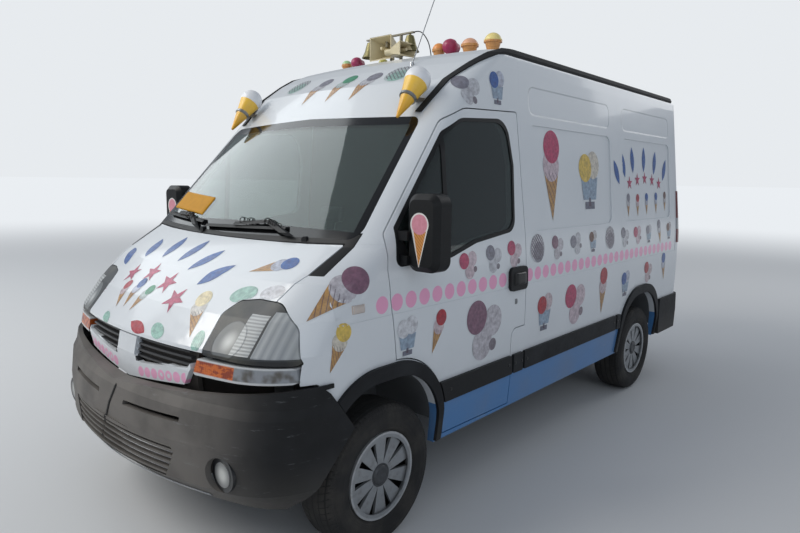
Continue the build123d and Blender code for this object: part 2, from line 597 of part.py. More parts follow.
# Fog lamps, set back in round recesses
fogs = []
for side in (-1, 1):
    lens = Pos(side * FOG_X, -668, FOG_Z) * Rot(90, 0, 0) * Cylinder(FOG_R, 60)
    well = Cylinder(FOG_R + 21.5, 110) - Pos(0, 0, 30) * Cylinder(FOG_R, 60.5)
    fogs.extend([lens, Pos(side * FOG_X, -640, FOG_Z) * Rot(90, 0, 0) * well])
keep("fog_lamps", *fogs)

# Rear bumper: round both corners, with a step below the doors
REAR_END = LENGTH - FRONT_OVERHANG
rear_form = []
for inset in (0, 30):
    wires = []
    for z, tail in ((395, REAR_END - 20), (560, REAR_END), (705, REAR_END - 14)):
        half = BODY_HALF + 12 - inset
        stretch = 0 if inset == 0 else (-20 if z < 500 else 20 if z > 700 else 0)
        corner = 120 - inset
        edges = [
            Edge.make_line((half, 3000, z + stretch), (half, tail - inset - corner, z + stretch)),
            Edge.make_three_point_arc(
                (half, tail - inset - corner, z + stretch),
                (half - corner * (1 - sqrt(0.5)), tail - inset - corner * (1 - sqrt(0.5)), z + stretch),
                (half - corner, tail - inset, z + stretch)),
            Edge.make_line((half - corner, tail - inset, z + stretch), (corner - half, tail - inset, z + stretch)),
            Edge.make_three_point_arc(
                (corner - half, tail - inset, z + stretch),
                (corner * (1 - sqrt(0.5)) - half, tail - inset - corner * (1 - sqrt(0.5)), z + stretch),
                (-half, tail - inset - corner, z + stretch)),
            Edge.make_line((-half, tail - inset - corner, z + stretch), (-half, 3000, z + stretch)),
            Edge.make_line((-half, 3000, z + stretch), (half, 3000, z + stretch)),
        ]
        wires.append(Wire(edges))
    rear_form.append(Solid.make_loft(wires, ruled=True))
rear_bumper = rear_form[0] - rear_form[1] - OUTER
rear_bumper = rear_bumper & block(-1100, 1100, WHEELBASE + ARCH_LINE + 3, 4200, 0, 1000)
STEP_Z = REAR_DOOR_LOW - GAP
rear_bumper = rear_bumper - block(-REAR_DOOR_W / 2 - 10, REAR_DOOR_W / 2 + 10, 3800, 4200, STEP_Z, 800)
step = block(-REAR_DOOR_W / 2 - 30, REAR_DOOR_W / 2 + 30, TAIL_Y + SEAT_GAP, REAR_END - 28, STEP_Z - 40, STEP_Z)
keep("rear_bumper", rear_bumper + step)

# Floor: cab floor, load floor, boxes over the rear wheels, wheel arches and toe board in front
FLOOR_UNDER = FLOOR_Z - FLOOR_T
CAB_FLOOR_Y = 400
cavity = hull(WALL + SEAT_GAP, 60)
LOAD_FLOOR_Y = BULKHEAD_Y + BULKHEAD_T + SEAT_GAP
floor = block(-1100, 1100, CAB_FLOOR_Y, 4100, FLOOR_UNDER, FLOOR_Z) & cavity
floor = floor - block(-1100, 1100, CAB_FLOOR_Y - 10, LOAD_FLOOR_Y, CAB_FLOOR_Z, 600)
BOX_IN = REAR_TRACK / 2 - TYRE_W / 2 - 55
BOX_T = 20
rear_bay = arch_region(WHEELBASE, 0, 0, BOX_IN, 1200)
front_bay = arch_region(0, 0, 0, 565, 1200)
rear_box = (arch_region(WHEELBASE, BOX_T, BOX_T, BOX_IN - BOX_T, 1100) - rear_bay) & cavity
front_box = (arch_region(0, BOX_T, BOX_T, 545, 1100) - front_bay) & cavity
front_box = front_box - block(-1100, 1100, -900, 60, 0, 1000)
front_box = front_box & block(-1100, 1100, 0, 1000, SILL_Z + 20, 1000)
firewall = block(-566, 566, 60, 80, FLOOR_UNDER, 1380) & cavity
firewall_upper = block(-1100, 1100, 60, 80, ARCH_TOP, 1380) & cavity
toe = block(-566, 566, 60, CAB_FLOOR_Y + 5, FLOOR_UNDER, FLOOR_UNDER + BOX_T) & cavity
over_floor = block(-1100, 1100, -900, 5000, FLOOR_UNDER, 1000)
boxes = [box & over_floor for box in both(rear_box) + both(front_box)]
floor = floor - both(rear_bay) - both(front_bay)
floor = floor.fuse(*boxes).fuse(firewall, firewall_upper, toe)
VALANCE_HALF = REAR_DOOR_W / 2 - SEAT_GAP
valance = SHELL & block(-VALANCE_HALF, VALANCE_HALF, 3800, 4100, SILL_Z, STEP_Z)
riser = block(-VALANCE_HALF, VALANCE_HALF, 3890, TAIL_Y - WALL - SEAT_GAP, STEP_Z - 60, FLOOR_Z)
keep("floor", floor.fuse(riser, block(-780, 780, 3890, TAIL_Y - 20, STEP_Z - 60, STEP_Z), valance))

# Chassis: two rails, cross members, front cradle with the lower arms, strut turrets and the front panel
RAIL_X = 430
RAIL_W = 65
RAIL_H = 110
RAIL_TOP = FLOOR_UNDER - SEAT_GAP
RAIL_LOW = RAIL_TOP - RAIL_H
TURRET_Z = 2 * TYRE_R + 16
CRADLE_Z = 235
rails = both(block(RAIL_X - RAIL_W / 2, RAIL_X + RAIL_W / 2, -600, 3880, RAIL_LOW, RAIL_TOP))
members = [block(-RAIL_X, RAIL_X, y, y + 60, RAIL_TOP - 80, RAIL_TOP - 10)
           for y in (-600, 420, 1150, 1900, 2500, 3820)]
cradle = [
    block(-RAIL_X - 40, RAIL_X + 40, -120, 160, CRADLE_Z, CRADLE_Z + 60),
    *both(block(RAIL_X - 30, RAIL_X + 30, -60, 100, CRADLE_Z + 40, RAIL_LOW + 10)),
    *both(block(RAIL_X, FRONT_TRACK / 2 - 130, -28, 28, CRADLE_Z + 10, CRADLE_Z + 40)),
]
TOE_Y = 60
turret = block(RAIL_X, FRONT_TRACK / 2 - 120, -70, TOE_Y - SEAT_GAP, TURRET_Z + SEAT_GAP, TURRET_Z + 20)
turrets = both(turret) + both(
    block(RAIL_X - 20, RAIL_X, -70, TOE_Y - SEAT_GAP, RAIL_TOP - 20, TURRET_Z + 20))
ENGINE_HALF = 330
mounts = both(block(ENGINE_HALF + SEAT_GAP, RAIL_X - 20, -350, -290, RAIL_LOW + 40, RAIL_LOW + 80))
bumper_beam = block(-560, 560, -690, -590, 560, 640)
cans = [can & bumper_form(BUMPER_WALL + SEAT_GAP, 10) for can in both(block(350, 410, -900, -680, 570, 630))]
horns = both(block(RAIL_X - 30, RAIL_X + 30, -600, -560, RAIL_TOP - 60, 640))
panel_skin = hull(32.3) - hull(52)
front_panel = panel_skin & block(-500, 500, -900, -400, 800, 974)
buffers = both(panel_skin & block(280, 320, -900, -400, 960, NOSE_Z - SEAT_GAP))
legs = both(block(400, 440, -672, -640, 630, 815))
frame = rails[0].fuse(rails[1], *members, *cradle, *turrets, *mounts, bumper_beam, *cans, *horns, *legs)
keep("chassis", frame.fuse(front_panel, *buffers))

# Engine, one plain block
keep("engine", block(-ENGINE_HALF, ENGINE_HALF, -520, -130, 420, 1020))

# Fuel tank between the rails, and the exhaust outside the right one
tank = fillet(block(-380, 380, 1230, 1880, 250, RAIL_TOP).edges().filter_by(Axis.Y), 40)
keep("fuel_tank", tank)
PIPE_Z = 350
PIPE_X = -700
pipe_path = Polyline((-250, -250, 420 - SEAT_GAP), (-250, -250, PIPE_Z), (-250, 200, PIPE_Z),
                     (PIPE_X, 520, PIPE_Z), (PIPE_X, 2540, PIPE_Z))
pipe = sweep(Plane(pipe_path @ 0, z_dir=pipe_path % 0) * RegularPolygon(25, 12), pipe_path,
             transition=Transition.RIGHT)
silencer = Pos(PIPE_X, 2250, PIPE_Z) * Rot(90, 0, 0) * Cylinder(82, 420)
straps = [block(PIPE_X - 12, PIPE_X + 12, y, y + 30, PIPE_Z, RAIL_TOP) for y in (1200, 2100, 2380)]
keep("exhaust", pipe.fuse(silencer, *straps))

# Rear axle: beam, springs and hubs
beam = Pos(0, WHEELBASE, HUB_Z) * Rot(0, 90, 0) * Cylinder(40, 2 * (REAR_TRACK / 2 - 115))
drums = [Pos(s * (REAR_TRACK / 2 - 70), WHEELBASE, HUB_Z) * Rot(0, 90, 0) * Cylinder(120, 90) for s in (-1, 1)]
stubs = [Pos(s * (REAR_TRACK / 2 + 5), WHEELBASE, HUB_Z) * Rot(0, 90, 0) * Cylinder(STUB_R, 100) for s in (-1, 1)]
SPRING_X = 560
springs = []
for s in (-1, 1):
    leaf_line = ((WHEELBASE - 640, 420), (WHEELBASE - 640, 432), (WHEELBASE, HUB_Z + 52),
                 (WHEELBASE + 640, 432), (WHEELBASE + 640, 420), (WHEELBASE, HUB_Z + 38))
    springs.append(side_prism(leaf_line, s * SPRING_X - 35, s * SPRING_X + 35, (0, 0, 900, 0, 0, 900)))
hangers = [block(s * SPRING_X - 40, s * SPRING_X + 40, WHEELBASE + d - 30, WHEELBASE + d + 30, 405, RAIL_TOP)
           for s in (-1, 1) for d in (-640, 640)]
keep("rear_axle", beam.fuse(*drums, *stubs, *springs, *hangers))

# Wheels: tyre, and disc wheel with its cover
def tyre():
    """A tyre round the X axis: flat tread, round shoulders, bulged side walls and open beads."""
    h = TYRE_W / 2
    bead = RIM_R + SEAT_GAP
    half = ((bead, h - 22), (bead + 18, h - 8), (bead + 55, h), (TYRE_R - 50, h - 1), (TYRE_R - 20, h - 9),
            (TYRE_R - 6, h - 22), (TYRE_R, h - 42))
    points = [*half, *[(r, -x) for r, x in reversed(half)]]
    return revolve(Face(outline([(x, r) for r, x in points])), Axis.X, 360)


BLADES = 10


def wheel():
    """The steel wheel's barrel and disc with a ten-bladed cover; outside is +X."""
    h = RIM_W / 2
    barrel = Rot(0, 90, 0) * (Cylinder(RIM_R, RIM_W) - Cylinder(RIM_R - 12, RIM_W + 2))
    disc = Pos(h - 60, 0, 0) * Rot(0, 90, 0) * (Cylinder(RIM_R - 6, 12) - Cylinder(BORE_R, 14))
    ring = Pos(h + 3, 0, 0) * Rot(0, 90, 0) * (Cylinder(RIM_R, 8) - Cylinder(RIM_R - 26, 10))
    hub = Pos(h - 32, 0, 0) * Rot(0, 90, 0) * (Cylinder(62, 44) - Pos(0, 0, -12) * Cylinder(BORE_R, 44))
    blades = []
    for i in range(BLADES):
        blades.append(Rot(i * 360 / BLADES, 0, 0) * plan_blade(h))
    return barrel.fuse(disc, ring, hub, *blades)


def plan_blade(h):
    """One blade of the wheel cover, widening from the hub out to the rim ring."""
    inner, outer, back = 50, RIM_R - 20, h - 54
    corners = [(back, -17, inner), (back, 17, inner), (back, 40, outer), (back, -40, outer)]
    return extrude(Face(Wire.make_polygon(corners)), 46, dir=(1, 0, 0))


one_tyre = tyre()
one_wheel = wheel()
for name, side, y, track in (
    ("front_left", 1, 0, FRONT_TRACK), ("front_right", -1, 0, FRONT_TRACK),
    ("rear_left", 1, WHEELBASE, REAR_TRACK), ("rear_right", -1, WHEELBASE, REAR_TRACK),
):
    place = Pos(side * track / 2, y, HUB_Z)
    keep(f"tyre_{name}", place * one_tyre)
    keep(f"wheel_{name}", place * (one_wheel if side > 0 else one_wheel.mirror(Plane.YZ)))

# Steering knuckles: upright, brake disc, stub axle and strut
STRUT_X = FRONT_TRACK / 2 - 160
STRUT_R = 32
for name, side in (("left", 1), ("right", -1)):
    x = FRONT_TRACK / 2
    stub = Pos(x + 5, 0, HUB_Z) * Rot(0, 90, 0) * Cylinder(STUB_R, 100)
    brake = Pos(x - 60, 0, HUB_Z) * Rot(0, 90, 0) * Cylinder(140, 24)
    carrier = Pos(x - 104, 0, HUB_Z) * Rot(0, 90, 0) * Cylinder(52, 120)
    low = CRADLE_Z + 40 + SEAT_GAP
    strut = Pos(STRUT_X, 0, (low + TURRET_Z) / 2) * Cylinder(STRUT_R, TURRET_Z - low)
    knuckle = stub.fuse(brake, carrier, strut)
    keep(f"knuckle_{name}", knuckle if side > 0 else knuckle.mirror(Plane.YZ))

# Bulkhead between cab and load space
keep("bulkhead", block(-1100, 1100, BULKHEAD_Y, BULKHEAD_Y + BULKHEAD_T, CAB_FLOOR_Z + SEAT_GAP, 2600) & cavity)

# Dashboard, steering column and wheel
dash = block(-1100, 1100, 0, 330, ARCH_TOP + BOX_T + 20, 1370) & cavity
dash_under = Pos(0, 330, 900) * Rot(38, 0, 0) * block(-1100, 1100, -60, 400, -300, 120)
dash = dash - block(-1100, 1100, -10, 80 + SEAT_GAP, 0, 1381) - dash_under
WHEEL_AT = Pos(400, 520, 1215) * Rot(-28, 0, 0)
COLUMN_L = 760
COLUMN_R = 28
spokes = [Rot(0, 0, angle) * Pos(95, 0, 0) * Box(190, 34, 14) for angle in (0, 180, 270)]
ring = revolve(Plane.XZ * Pos(190, 0) * RegularPolygon(15, 10), Axis.Z, 360)
column = Pos(0, 0, -COLUMN_L / 2)
keep("steering_wheel", WHEEL_AT * ring.fuse(Cylinder(55, 34), column * Cylinder(COLUMN_R, COLUMN_L), *spokes))
bracket = block(355, 445, 240, 384, 858, 898)
keep("dashboard", dash + bracket - WHEEL_AT * column * Cylinder(COLUMN_R + SEAT_GAP, COLUMN_L))

# Seats: one for the driver, a double bench beside it
def seat(x0, x1):
    """Plinth, squab, back and head rest of one seat, between two values of x."""
    plinth = block(x0 + 40, x1 - 40, 600, 960, CAB_FLOOR_Z + SEAT_GAP, 800)
    squab = fillet(block(x0, x1, 500, 1000, 800, 930).edges(), 40)
    back = Pos(0, 930, 920) * Rot(-12, 0, 0) * fillet(block(x0, x1, -60, 60, -20, 620).edges(), 40)
    return plinth.fuse(squab, back)


keep("driver_seat", seat(170, 700))
keep("passenger_bench", seat(-740, 120))

# Cone lamps over the windscreen corners, each a ball in a cone, clamped to a bracket
LAMP_BALL = (720, 500, 2214)
LAMP_L = 249
BALL_R = 69
RIM_LOW = 30


def cone_lamp(side):
    """Ball, cone, clamp ring and bracket of one lamp, with the cone pointing down and forwards."""
    at = Plane(origin=(side * LAMP_BALL[0], *LAMP_BALL[1:]), x_dir=(1, 0, 0), z_dir=(0, 0.613, 0.790))
    cone = at * Pos(0, 0, -(LAMP_L + RIM_LOW) / 2) * Cone(7, 62, LAMP_L - RIM_LOW)
    clamp = at * Pos(0, 0, -117) * Cylinder(45, 16)
    x, y, z = side * LAMP_BALL[0], LAMP_BALL[1] - 72, LAMP_BALL[2] - 93
    bracket = block(x - 20, x + 20, y - 10, y + 110, z - 12, z + 6)
    return (at * Sphere(BALL_R)).fuse(cone, clamp, bracket) - hull(-SEAT_GAP)


keep("cone_lamps", cone_lamp(1), cone_lamp(-1))

# Roof ornaments: cups with a dome of ice on top, as x, y, radius, height and turn forwards
ROOF_ROW_Y = 1200
ROW_Z = ROOF_Z - 17
CUPS = (
    (-539, 1200, 38, 84, 0), (-431, 1250, 40, 100, 90), (-300, 1330, 40, 88, 0), (303, 1200, 44, 96, 0),
    (400, 1255, 47, 120, 90), (540, 1200, 54, 96, 0), (706, 1200, 54, 104, 0),
)


def cup(r, h):
    """A wafer cup with a rim and a dome, standing on z = 0."""
    wafer = Pos(0, 0, 0.23 * h) * Cone(0.62 * r, 0.86 * r, 0.46 * h)
    rim = Pos(0, 0, 0.54 * h) * Cylinder(r, 0.16 * h)
    rise = 0.38 * h
    ball = ((0.94 * r) ** 2 + rise ** 2) / (2 * rise)
    dome = (Pos(0, 0, h - ball) * Sphere(ball)) & block(-r, r, -r, r, 0.6 * h, h + 1)
    return wafer.fuse(rim, dome)


cups = []
for x, y, r, h, turn in CUPS:
    if turn:
        foot = block(x - 12, x + 12, y - 60, y - 30, ROW_Z - 30, ROW_Z + 40)
        piece = Pos(x, y, ROW_Z + r + 14) * Rot(turn, 0, 0) * cup(r, h) + foot
    else:
        piece = Pos(x, y, ROW_Z) * cup(r, h) + Pos(x, y, ROW_Z - 20) * Cylinder(0.62 * r, 40)
    cups.append(piece - hull(-SEAT_GAP))
keep("roof_cones", *cups)

# Two loudspeaker horns on the roof, with a bar across them that carries two bells
BAR_Z = 2658
BELLS = ((-300, 1200), (60, 1200))


def horn(wide, high, deep):
    """A square horn that opens towards -y from its throat, with the driver behind and the plug in its mouth."""
    mouth = Plane.XZ * Rectangle(wide, high)
    throat = Plane.XZ * Pos(0, 0, -deep) * Rectangle(0.4 * wide, 0.4 * high)
    cut = Plane.XZ * Pos(0, 0, 1) * Rectangle(wide - 12, high - 12)
    cut_end = Plane.XZ * Pos(0, 0, 8 - deep) * Rectangle(0.4 * wide - 10, 0.4 * high - 10)
    driver = Pos(0, deep + 30, 0) * Rot(90, 0, 0) * Cylinder(0.24 * high, 70)
    plug = Pos(0, deep / 2 + 4, 0) * Rot(90, 0, 0) * Cone(16, 9, deep - 8)
    return loft([mouth, throat]).fuse(driver) - loft([cut, cut_end]) + plug


def bell():
    """A hung bell, mouth on z = 0, with its loop."""
    outer = [(62, 0), (57, 8), (41, 42), (32, 78), (24, 102), (0, 110)]
    inner = [(0, 98), (20, 92), (27, 74), (36, 42), (52, 8), (56, 0)]
    face = make_face(Polyline(*outer, *inner, (62, 0)).edges())
    return revolve(Plane.XZ * face, Axis.Z, 360) + Pos(0, 0, 110) * Box(10, 10, 16)


front_horn = Pos(-143, 1130, BAR_Z - 78) * horn(196, 155, 140)
side_horn = Pos(108, 1120, BAR_Z - 118) * Rot(0, 0, 90) * horn(150, 86, 120)
bar = block(-332, 92, ROOF_ROW_Y - 12, ROOF_ROW_Y + 12, BAR_Z, BAR_Z + 9)
posts = [block(-24, -12, ROOF_ROW_Y - 10, ROOF_ROW_Y + 10, ROW_Z - 40, BAR_Z + 2),
         block(-151, -135, ROOF_ROW_Y - 10, ROOF_ROW_Y + 10, BAR_Z - 60, BAR_Z + 2),
         block(-155, -131, 1240, 1260, ROW_Z - 40, BAR_Z - 60),
         block(-30, 0, 1110, 1205, BAR_Z - 124, BAR_Z - 112)]
bells = [Pos(x, y, BAR_Z - 116) * bell() for x, y in BELLS]
keep("roof_horns", bar.fuse(front_horn, side_horn, *posts, *bells) - hull(-SEAT_GAP))

# Cable from the bar's end down to the roof
CABLE_R = 3.5
CABLE = ((92.4, BAR_Z + 4.5), (140, BAR_Z + 10), (196, BAR_Z - 40), (232, BAR_Z - 110), (243, ROW_Z - 14))
cable_path = FilletPolyline(*[(x, ROOF_ROW_Y, z) for x, z in CABLE], radius=40)
cable = sweep(Plane(cable_path @ 0, z_dir=cable_path % 0) * RegularPolygon(CABLE_R, 8), cable_path)
keep("horn_cable", cable - hull(-SEAT_GAP))

# Whip aerial at the front of the roof
AERIAL_AT = Pos(432, 790, 2362)
foot = AERIAL_AT * Pos(0, 0, -10) * Cone(20, 10, 50)
whip = Cylinder(3, 640, align=(Align.CENTER, Align.CENTER, Align.MIN))
keep("aerial", (foot + AERIAL_AT * Rot(-26, 0, 0) * whip) - hull(-SEAT_GAP))

# Rubber strips over the roof seams
STRIP_W = 34
strip_inner = [(x - STRIP_W / 2, z + 4) for x, z in roof_side]
strip_outer = [(x + STRIP_W / 2, z) for x, z in reversed(roof_side)]
strip_zone = front_prism(strip_inner + strip_outer, 300, 3800)
keep("roof_strips", *both((hull(-9) - OUTER) & strip_zone))
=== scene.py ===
import math
import bmesh
import bpy
import numpy as np
from mathutils import Matrix, Vector
from mathutils.bvhtree import BVHTree


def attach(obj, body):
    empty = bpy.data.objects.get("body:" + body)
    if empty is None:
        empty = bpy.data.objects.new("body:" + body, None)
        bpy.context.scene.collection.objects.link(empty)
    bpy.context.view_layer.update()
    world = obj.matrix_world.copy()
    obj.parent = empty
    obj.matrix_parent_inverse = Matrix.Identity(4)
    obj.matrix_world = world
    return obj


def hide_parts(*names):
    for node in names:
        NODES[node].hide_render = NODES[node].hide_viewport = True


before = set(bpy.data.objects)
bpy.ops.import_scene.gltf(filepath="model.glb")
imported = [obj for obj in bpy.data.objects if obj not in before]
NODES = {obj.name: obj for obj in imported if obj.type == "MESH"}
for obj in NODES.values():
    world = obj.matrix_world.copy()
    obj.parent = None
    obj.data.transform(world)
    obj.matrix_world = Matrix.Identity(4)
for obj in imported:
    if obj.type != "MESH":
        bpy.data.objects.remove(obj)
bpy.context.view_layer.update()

# Studio: the van stands on a pale seamless floor under soft sky light and four large lamps. The camera
# stands at the left front corner, a little above the bonnet, with a moderately wide lens.
def tint(code):
    """A colour in linear light from the six digits of its screen colour."""
    parts = [int(code[i:i + 2], 16) / 255 for i in (0, 2, 4)]
    return tuple(c / 12.92 if c < 0.04045 else ((c + 0.055) / 1.055) ** 2.4 for c in parts)


class Amount:
    """A number that varies over a surface. Arithmetic on it adds Math nodes to its finish."""

    def __init__(self, finish, socket):
        self.finish, self.socket = finish, socket

    def __rsub__(self, other):
        return self.finish.maths("SUBTRACT", other, self)

    def ramp(self, low, high):
        """The number carried smoothly from 0 at low to 1 at high."""
        node = self.finish.node("MapRange", {"interpolation_type": "SMOOTHSTEP"}, Value=self, From_Min=low,
                                From_Max=high)
        return Amount(self.finish, node.outputs[0])

    def mix(self, under, over):
        """Colour under where the number is 0 and over where it is 1."""
        return self.finish.mix(self, under, over)


def operator(operation):
    """The method of an operator: a Math node on the Amount and on what it is joined with."""
    return lambda amount, *others: amount.finish.maths(operation, amount, *others)


for sign, operation in {"add": "ADD", "radd": "ADD", "sub": "SUBTRACT", "mul": "MULTIPLY", "rmul": "MULTIPLY",
                        "truediv": "DIVIDE", "pow": "POWER", "mod": "FLOORED_MODULO", "lt": "LESS_THAN",
                        "gt": "GREATER_THAN", "abs": "ABSOLUTE"}.items():
    setattr(Amount, f"__{sign}__", operator(operation))


class Nodes:
    """A tree of shader nodes that is written as calls, one for each node."""

    def __init__(self, tree):
        self.tree = tree
        tree.nodes.clear()

    def feed(self, socket, value):
        """Link a socket or an Amount, or set a number, a colour or the six digits of one."""
        if isinstance(value, Amount):
            value = value.socket
        if isinstance(value, str):
            value = tint(value)
        if isinstance(value, bpy.types.NodeSocket):
            self.tree.links.new(value, socket)
        elif isinstance(value, (tuple, list)) and len(value) == 3 and len(socket.default_value) == 4:
            socket.default_value = (*value, 1.0)
        else:
            socket.default_value = value

    def node(self, kind, settings=None, **inputs):
        """Add a node: its settings first, then the values or links of its sockets by name or number."""
        node = self.tree.nodes.new("ShaderNode" + kind)
        for key, value in (settings or {}).items():
            setattr(node, key, value)
        for key, value in inputs.items():
            place = int(key[1:]) if key[0] == "i" and key[1:].isdigit() else key.replace("_", " ")
            self.feed(node.inputs[place], value)
        return node


class Finish(Nodes):
    """One procedural material: a Principled surface, whose fixed values are given by name."""

    def __init__(self, name, **fixed):
        self.material = bpy.data.materials.new(name)
        self.material.use_nodes = True
        super().__init__(self.material.node_tree)
        self.surface = self.node("BsdfPrincipled", **fixed)
        self.output = self.node("OutputMaterial", Surface=self.surface.outputs[0])
        self.point = self.node("TexCoord").outputs["Object"]
        self.at = self.parts(self.point)

    def parts(self, vector):
        """A vector's x, y and z as Amounts. Those of the surface point are in metres in the van's frame."""
        return [Amount(self, socket) for socket in self.node("SeparateXYZ", Vector=vector).outputs]

    def distance(self, vector, *centre):
        """How far a vector is from a centre."""
        gap = self.node("VectorMath", {"operation": "DISTANCE"}, i0=vector, i1=centre)
        return Amount(self, gap.outputs["Value"])

    def maths(self, operation, *values):
        """A Math node on numbers or Amounts."""
        node = self.node("Math", {"operation": operation}, **{f"i{i}": v for i, v in enumerate(values)})
        return Amount(self, node.outputs[0])

    def noise(self, scale, detail=4.0, roughness=0.55, stretch=(1, 1, 1)):
        """Fractal noise between 0 and 1, at a scale in features per metre."""
        vector = self.node("Mapping", i0=self.point, Scale=stretch).outputs[0]
        return Amount(self, self.node("TexNoise", Vector=vector, Scale=scale, Detail=detail,
                                      Roughness=roughness).outputs["Fac"])

    def mix(self, mask, under, over):
        """Colour under where the mask is 0 and over where it is 1."""
        node = self.node("Mix", {"data_type": "RGBA"})
        for place, value in ((0, mask), (6, under), (7, over)):
            self.feed(node.inputs[place], value)
        return node.outputs[2]

    def look(self, **inputs):
        """Feed what varies over the surface to the Principled shader."""
        for key, value in inputs.items():
            self.feed(self.surface.inputs[key.replace("_", " ")], value)
        return self

    def bump(self, height, distance, strength=1.0):
        """A bump from a height between 0 and 1 that stands for a distance in metres."""
        node = self.node("Bump", Height=height, Strength=strength, Distance=distance)
        return self.look(Normal=node.outputs[0])

    def dress(self, *nodes):
        """Give CAD nodes this finish."""
        for name in nodes:
            NODES[name].data.materials.clear()
            NODES[name].data.materials.append(self.material)
        return self


def placed(name, data):
    """A new object in the scene for a mesh, a curve, a lamp or the camera."""
    made = bpy.data.objects.new(name, data)
    bpy.context.scene.collection.objects.link(made)
    return made


BACKDROP = (0.80, 0.83, 0.86)
world = bpy.data.worlds.new("studio_sky")
bpy.context.scene.world = world
world.use_nodes = True
sky = Nodes(world.node_tree)
lit = sky.node("Background", Color=(0.80, 0.88, 1.0), Strength=0.33)
seen = sky.node("Background", Color=BACKDROP)
choose = sky.node("MixShader", i0=sky.node("LightPath").outputs["Is Camera Ray"], i1=lit.outputs[0],
                  i2=seen.outputs[0])
sky.node("OutputWorld", Surface=choose.outputs[0])

FLOOR_REACH = 400
floor_mesh = bpy.data.meshes.new("studio_floor")
FLOOR_CORNERS = ((-1, -1), (1, -1), (1, 1), (-1, 1))
floor_mesh.from_pydata([(u * FLOOR_REACH, v * FLOOR_REACH, 0) for u, v in FLOOR_CORNERS], [], [(0, 1, 2, 3)])
pale = Finish("pale_floor", Roughness=0.9, Emission_Strength=1.0)
x, y, z = pale.at
far = pale.maths("SQRT", x * x + y * y).ramp(5.0, 24.0)
pale.look(Base_Color=far.mix((0.62, 0.63, 0.64), (0, 0, 0)), Emission_Color=far.mix((0, 0, 0), BACKDROP))
floor_mesh.materials.append(pale.material)
studio_floor = placed("studio_floor", floor_mesh)


def lamp(name, place, aim, size, power, colour):
    """A square area lamp at a place, turned to its aim."""
    light = bpy.data.lights.new(name, "AREA")
    light.size, light.energy, light.color = size, power, colour
    holder = placed(name, light)
    holder.location = place
    holder.rotation_euler = (Vector(aim) - Vector(place)).to_track_quat("-Z", "Y").to_euler()


lamp("key_light", (-5.5, -9.0, 9.5), (0, -0.6, 1.2), 6.5, 925, (1.0, 0.97, 0.92))
lamp("sky_panel", (-9.5, -2.8, 8.2), (0, -1.2, 1.5), 7.0, 280, (0.93, 0.98, 1.0))
lamp("fill_light", (9, -5, 5.5), (0, 0, 1), 7.0, 150, (0.86, 0.93, 1.0))
lamp("back_light", (2, 9, 6), (0, 0, 1.2), 5.0, 140, (1, 1, 1))

# The van's own directions
LEFT, BACK, UP = Vector((1, 0, 0)), Vector((0, 1, 0)), Vector((0, 0, 1))
CAMERA_AT = Vector((2.816, -3.588, 1.712))
AZIMUTH, ELEVATION, ROLL = math.radians(41.5), math.radians(8.06), math.radians(0.8)
ahead = Vector((-math.sin(AZIMUTH) * math.cos(ELEVATION), math.cos(AZIMUTH) * math.cos(ELEVATION),
                -math.sin(ELEVATION)))
level = ahead.cross(UP).normalized()
above = level.cross(ahead)
across = math.cos(ROLL) * level + math.sin(ROLL) * above
upward = math.cos(ROLL) * above - math.sin(ROLL) * level
lens = bpy.data.cameras.new("camera")
lens.lens, lens.sensor_width = 27.73, 36.0
camera = placed("camera", lens)
camera.matrix_world = Matrix.Translation(CAMERA_AT) @ Matrix((across, upward, -ahead)).transposed().to_4x4()
bpy.context.scene.camera = camera
bpy.context.scene.view_settings.view_transform = "Standard"

# Body paint: aged white gloss over pressed steel, sprayed on the panels before they are hung. A light-blue
# band runs along the sills, and cut vinyl prints are stuck to the sides, the bonnet and the roof's front.
AXLE_Y, WHEELBASE = -1.604, 3.078
PINK, MAGENTA, MINT, BLUE = "e79bc0", "c2436b", "a9d6c8", "2f63ad"
CREAM, COFFEE, RED, WHITE_ICE = "f0e2b8", "6f4a3a", "b8303c", "dfe1e6"
GREEN, PLUM, GREY, YELLOW = "3f9a72", "8a6478", "8c8c98", "e8c860"
WHITE, SILL_BLUE, DIRT = "d6dade", "3f7ab4", "8e8a82"
DOT_PITCH, DOT_R, DOT_Z = 0.0986, 0.0395, 1.160
SILL_TOP = 0.594
# The two long panels pressed in each side under the roof, as spans behind the front axle and of height
PRESSINGS = (((1.30, 2.43), (2.105, 2.255)), ((2.68, 3.68), (2.105, 2.255)))


def outlined(finish, u, v, box, corner, soft):
    """A rounded box: 1 where the distance outside its core is under the corner's radius, softly 0 beyond."""
    du, dv = [finish.maths("MAXIMUM", abs(at - (low + high) / 2) - (high - low) / 2 + corner, 0.0)
              for at, (low, high) in zip((u, v), box)]
    return finish.maths("SQRT", du * du + dv * dv).ramp(corner + soft, corner)


paint = Finish("body_paint", Metallic=0.0, Coat_Roughness=0.06, Specular_IOR_Level=0.5, Coat_Weight=0.45)
x, y, z = paint.at
facing_x, facing_y, facing_z = paint.parts(paint.node("TexCoord").outputs["Normal"])
outward = facing_x * paint.maths("SIGN", x)
side = outward > 0.62
front = (facing_y < -0.25) * (outward < 0.62) * (facing_z > 0.05)
cloud = paint.noise(2.2, 5)
dust = z.ramp(1.0, 0.35) * cloud.ramp(0.35, 0.75)
coat = (cloud.ramp(0.3, 0.8) * 0.5).mix(WHITE, "cdd2d7")
along = (y - AXLE_Y - 0.0153) % DOT_PITCH - DOT_PITCH / 2
dots = (along * along + (z - DOT_Z) * (z - DOT_Z) < DOT_R * DOT_R) * side * (y > AXLE_Y - 0.085) * (y < 2.15)
coat = (dots * 0.95).mix(coat, PINK)
coat = ((z < SILL_TOP) * (y > AXLE_Y + 0.30)).mix(coat, SILL_BLUE)
scrape = paint.noise(7, 8, 0.7, (0.3, 0.3, 3)).ramp(0.62, 0.70) * z.ramp(0.62, 0.42)
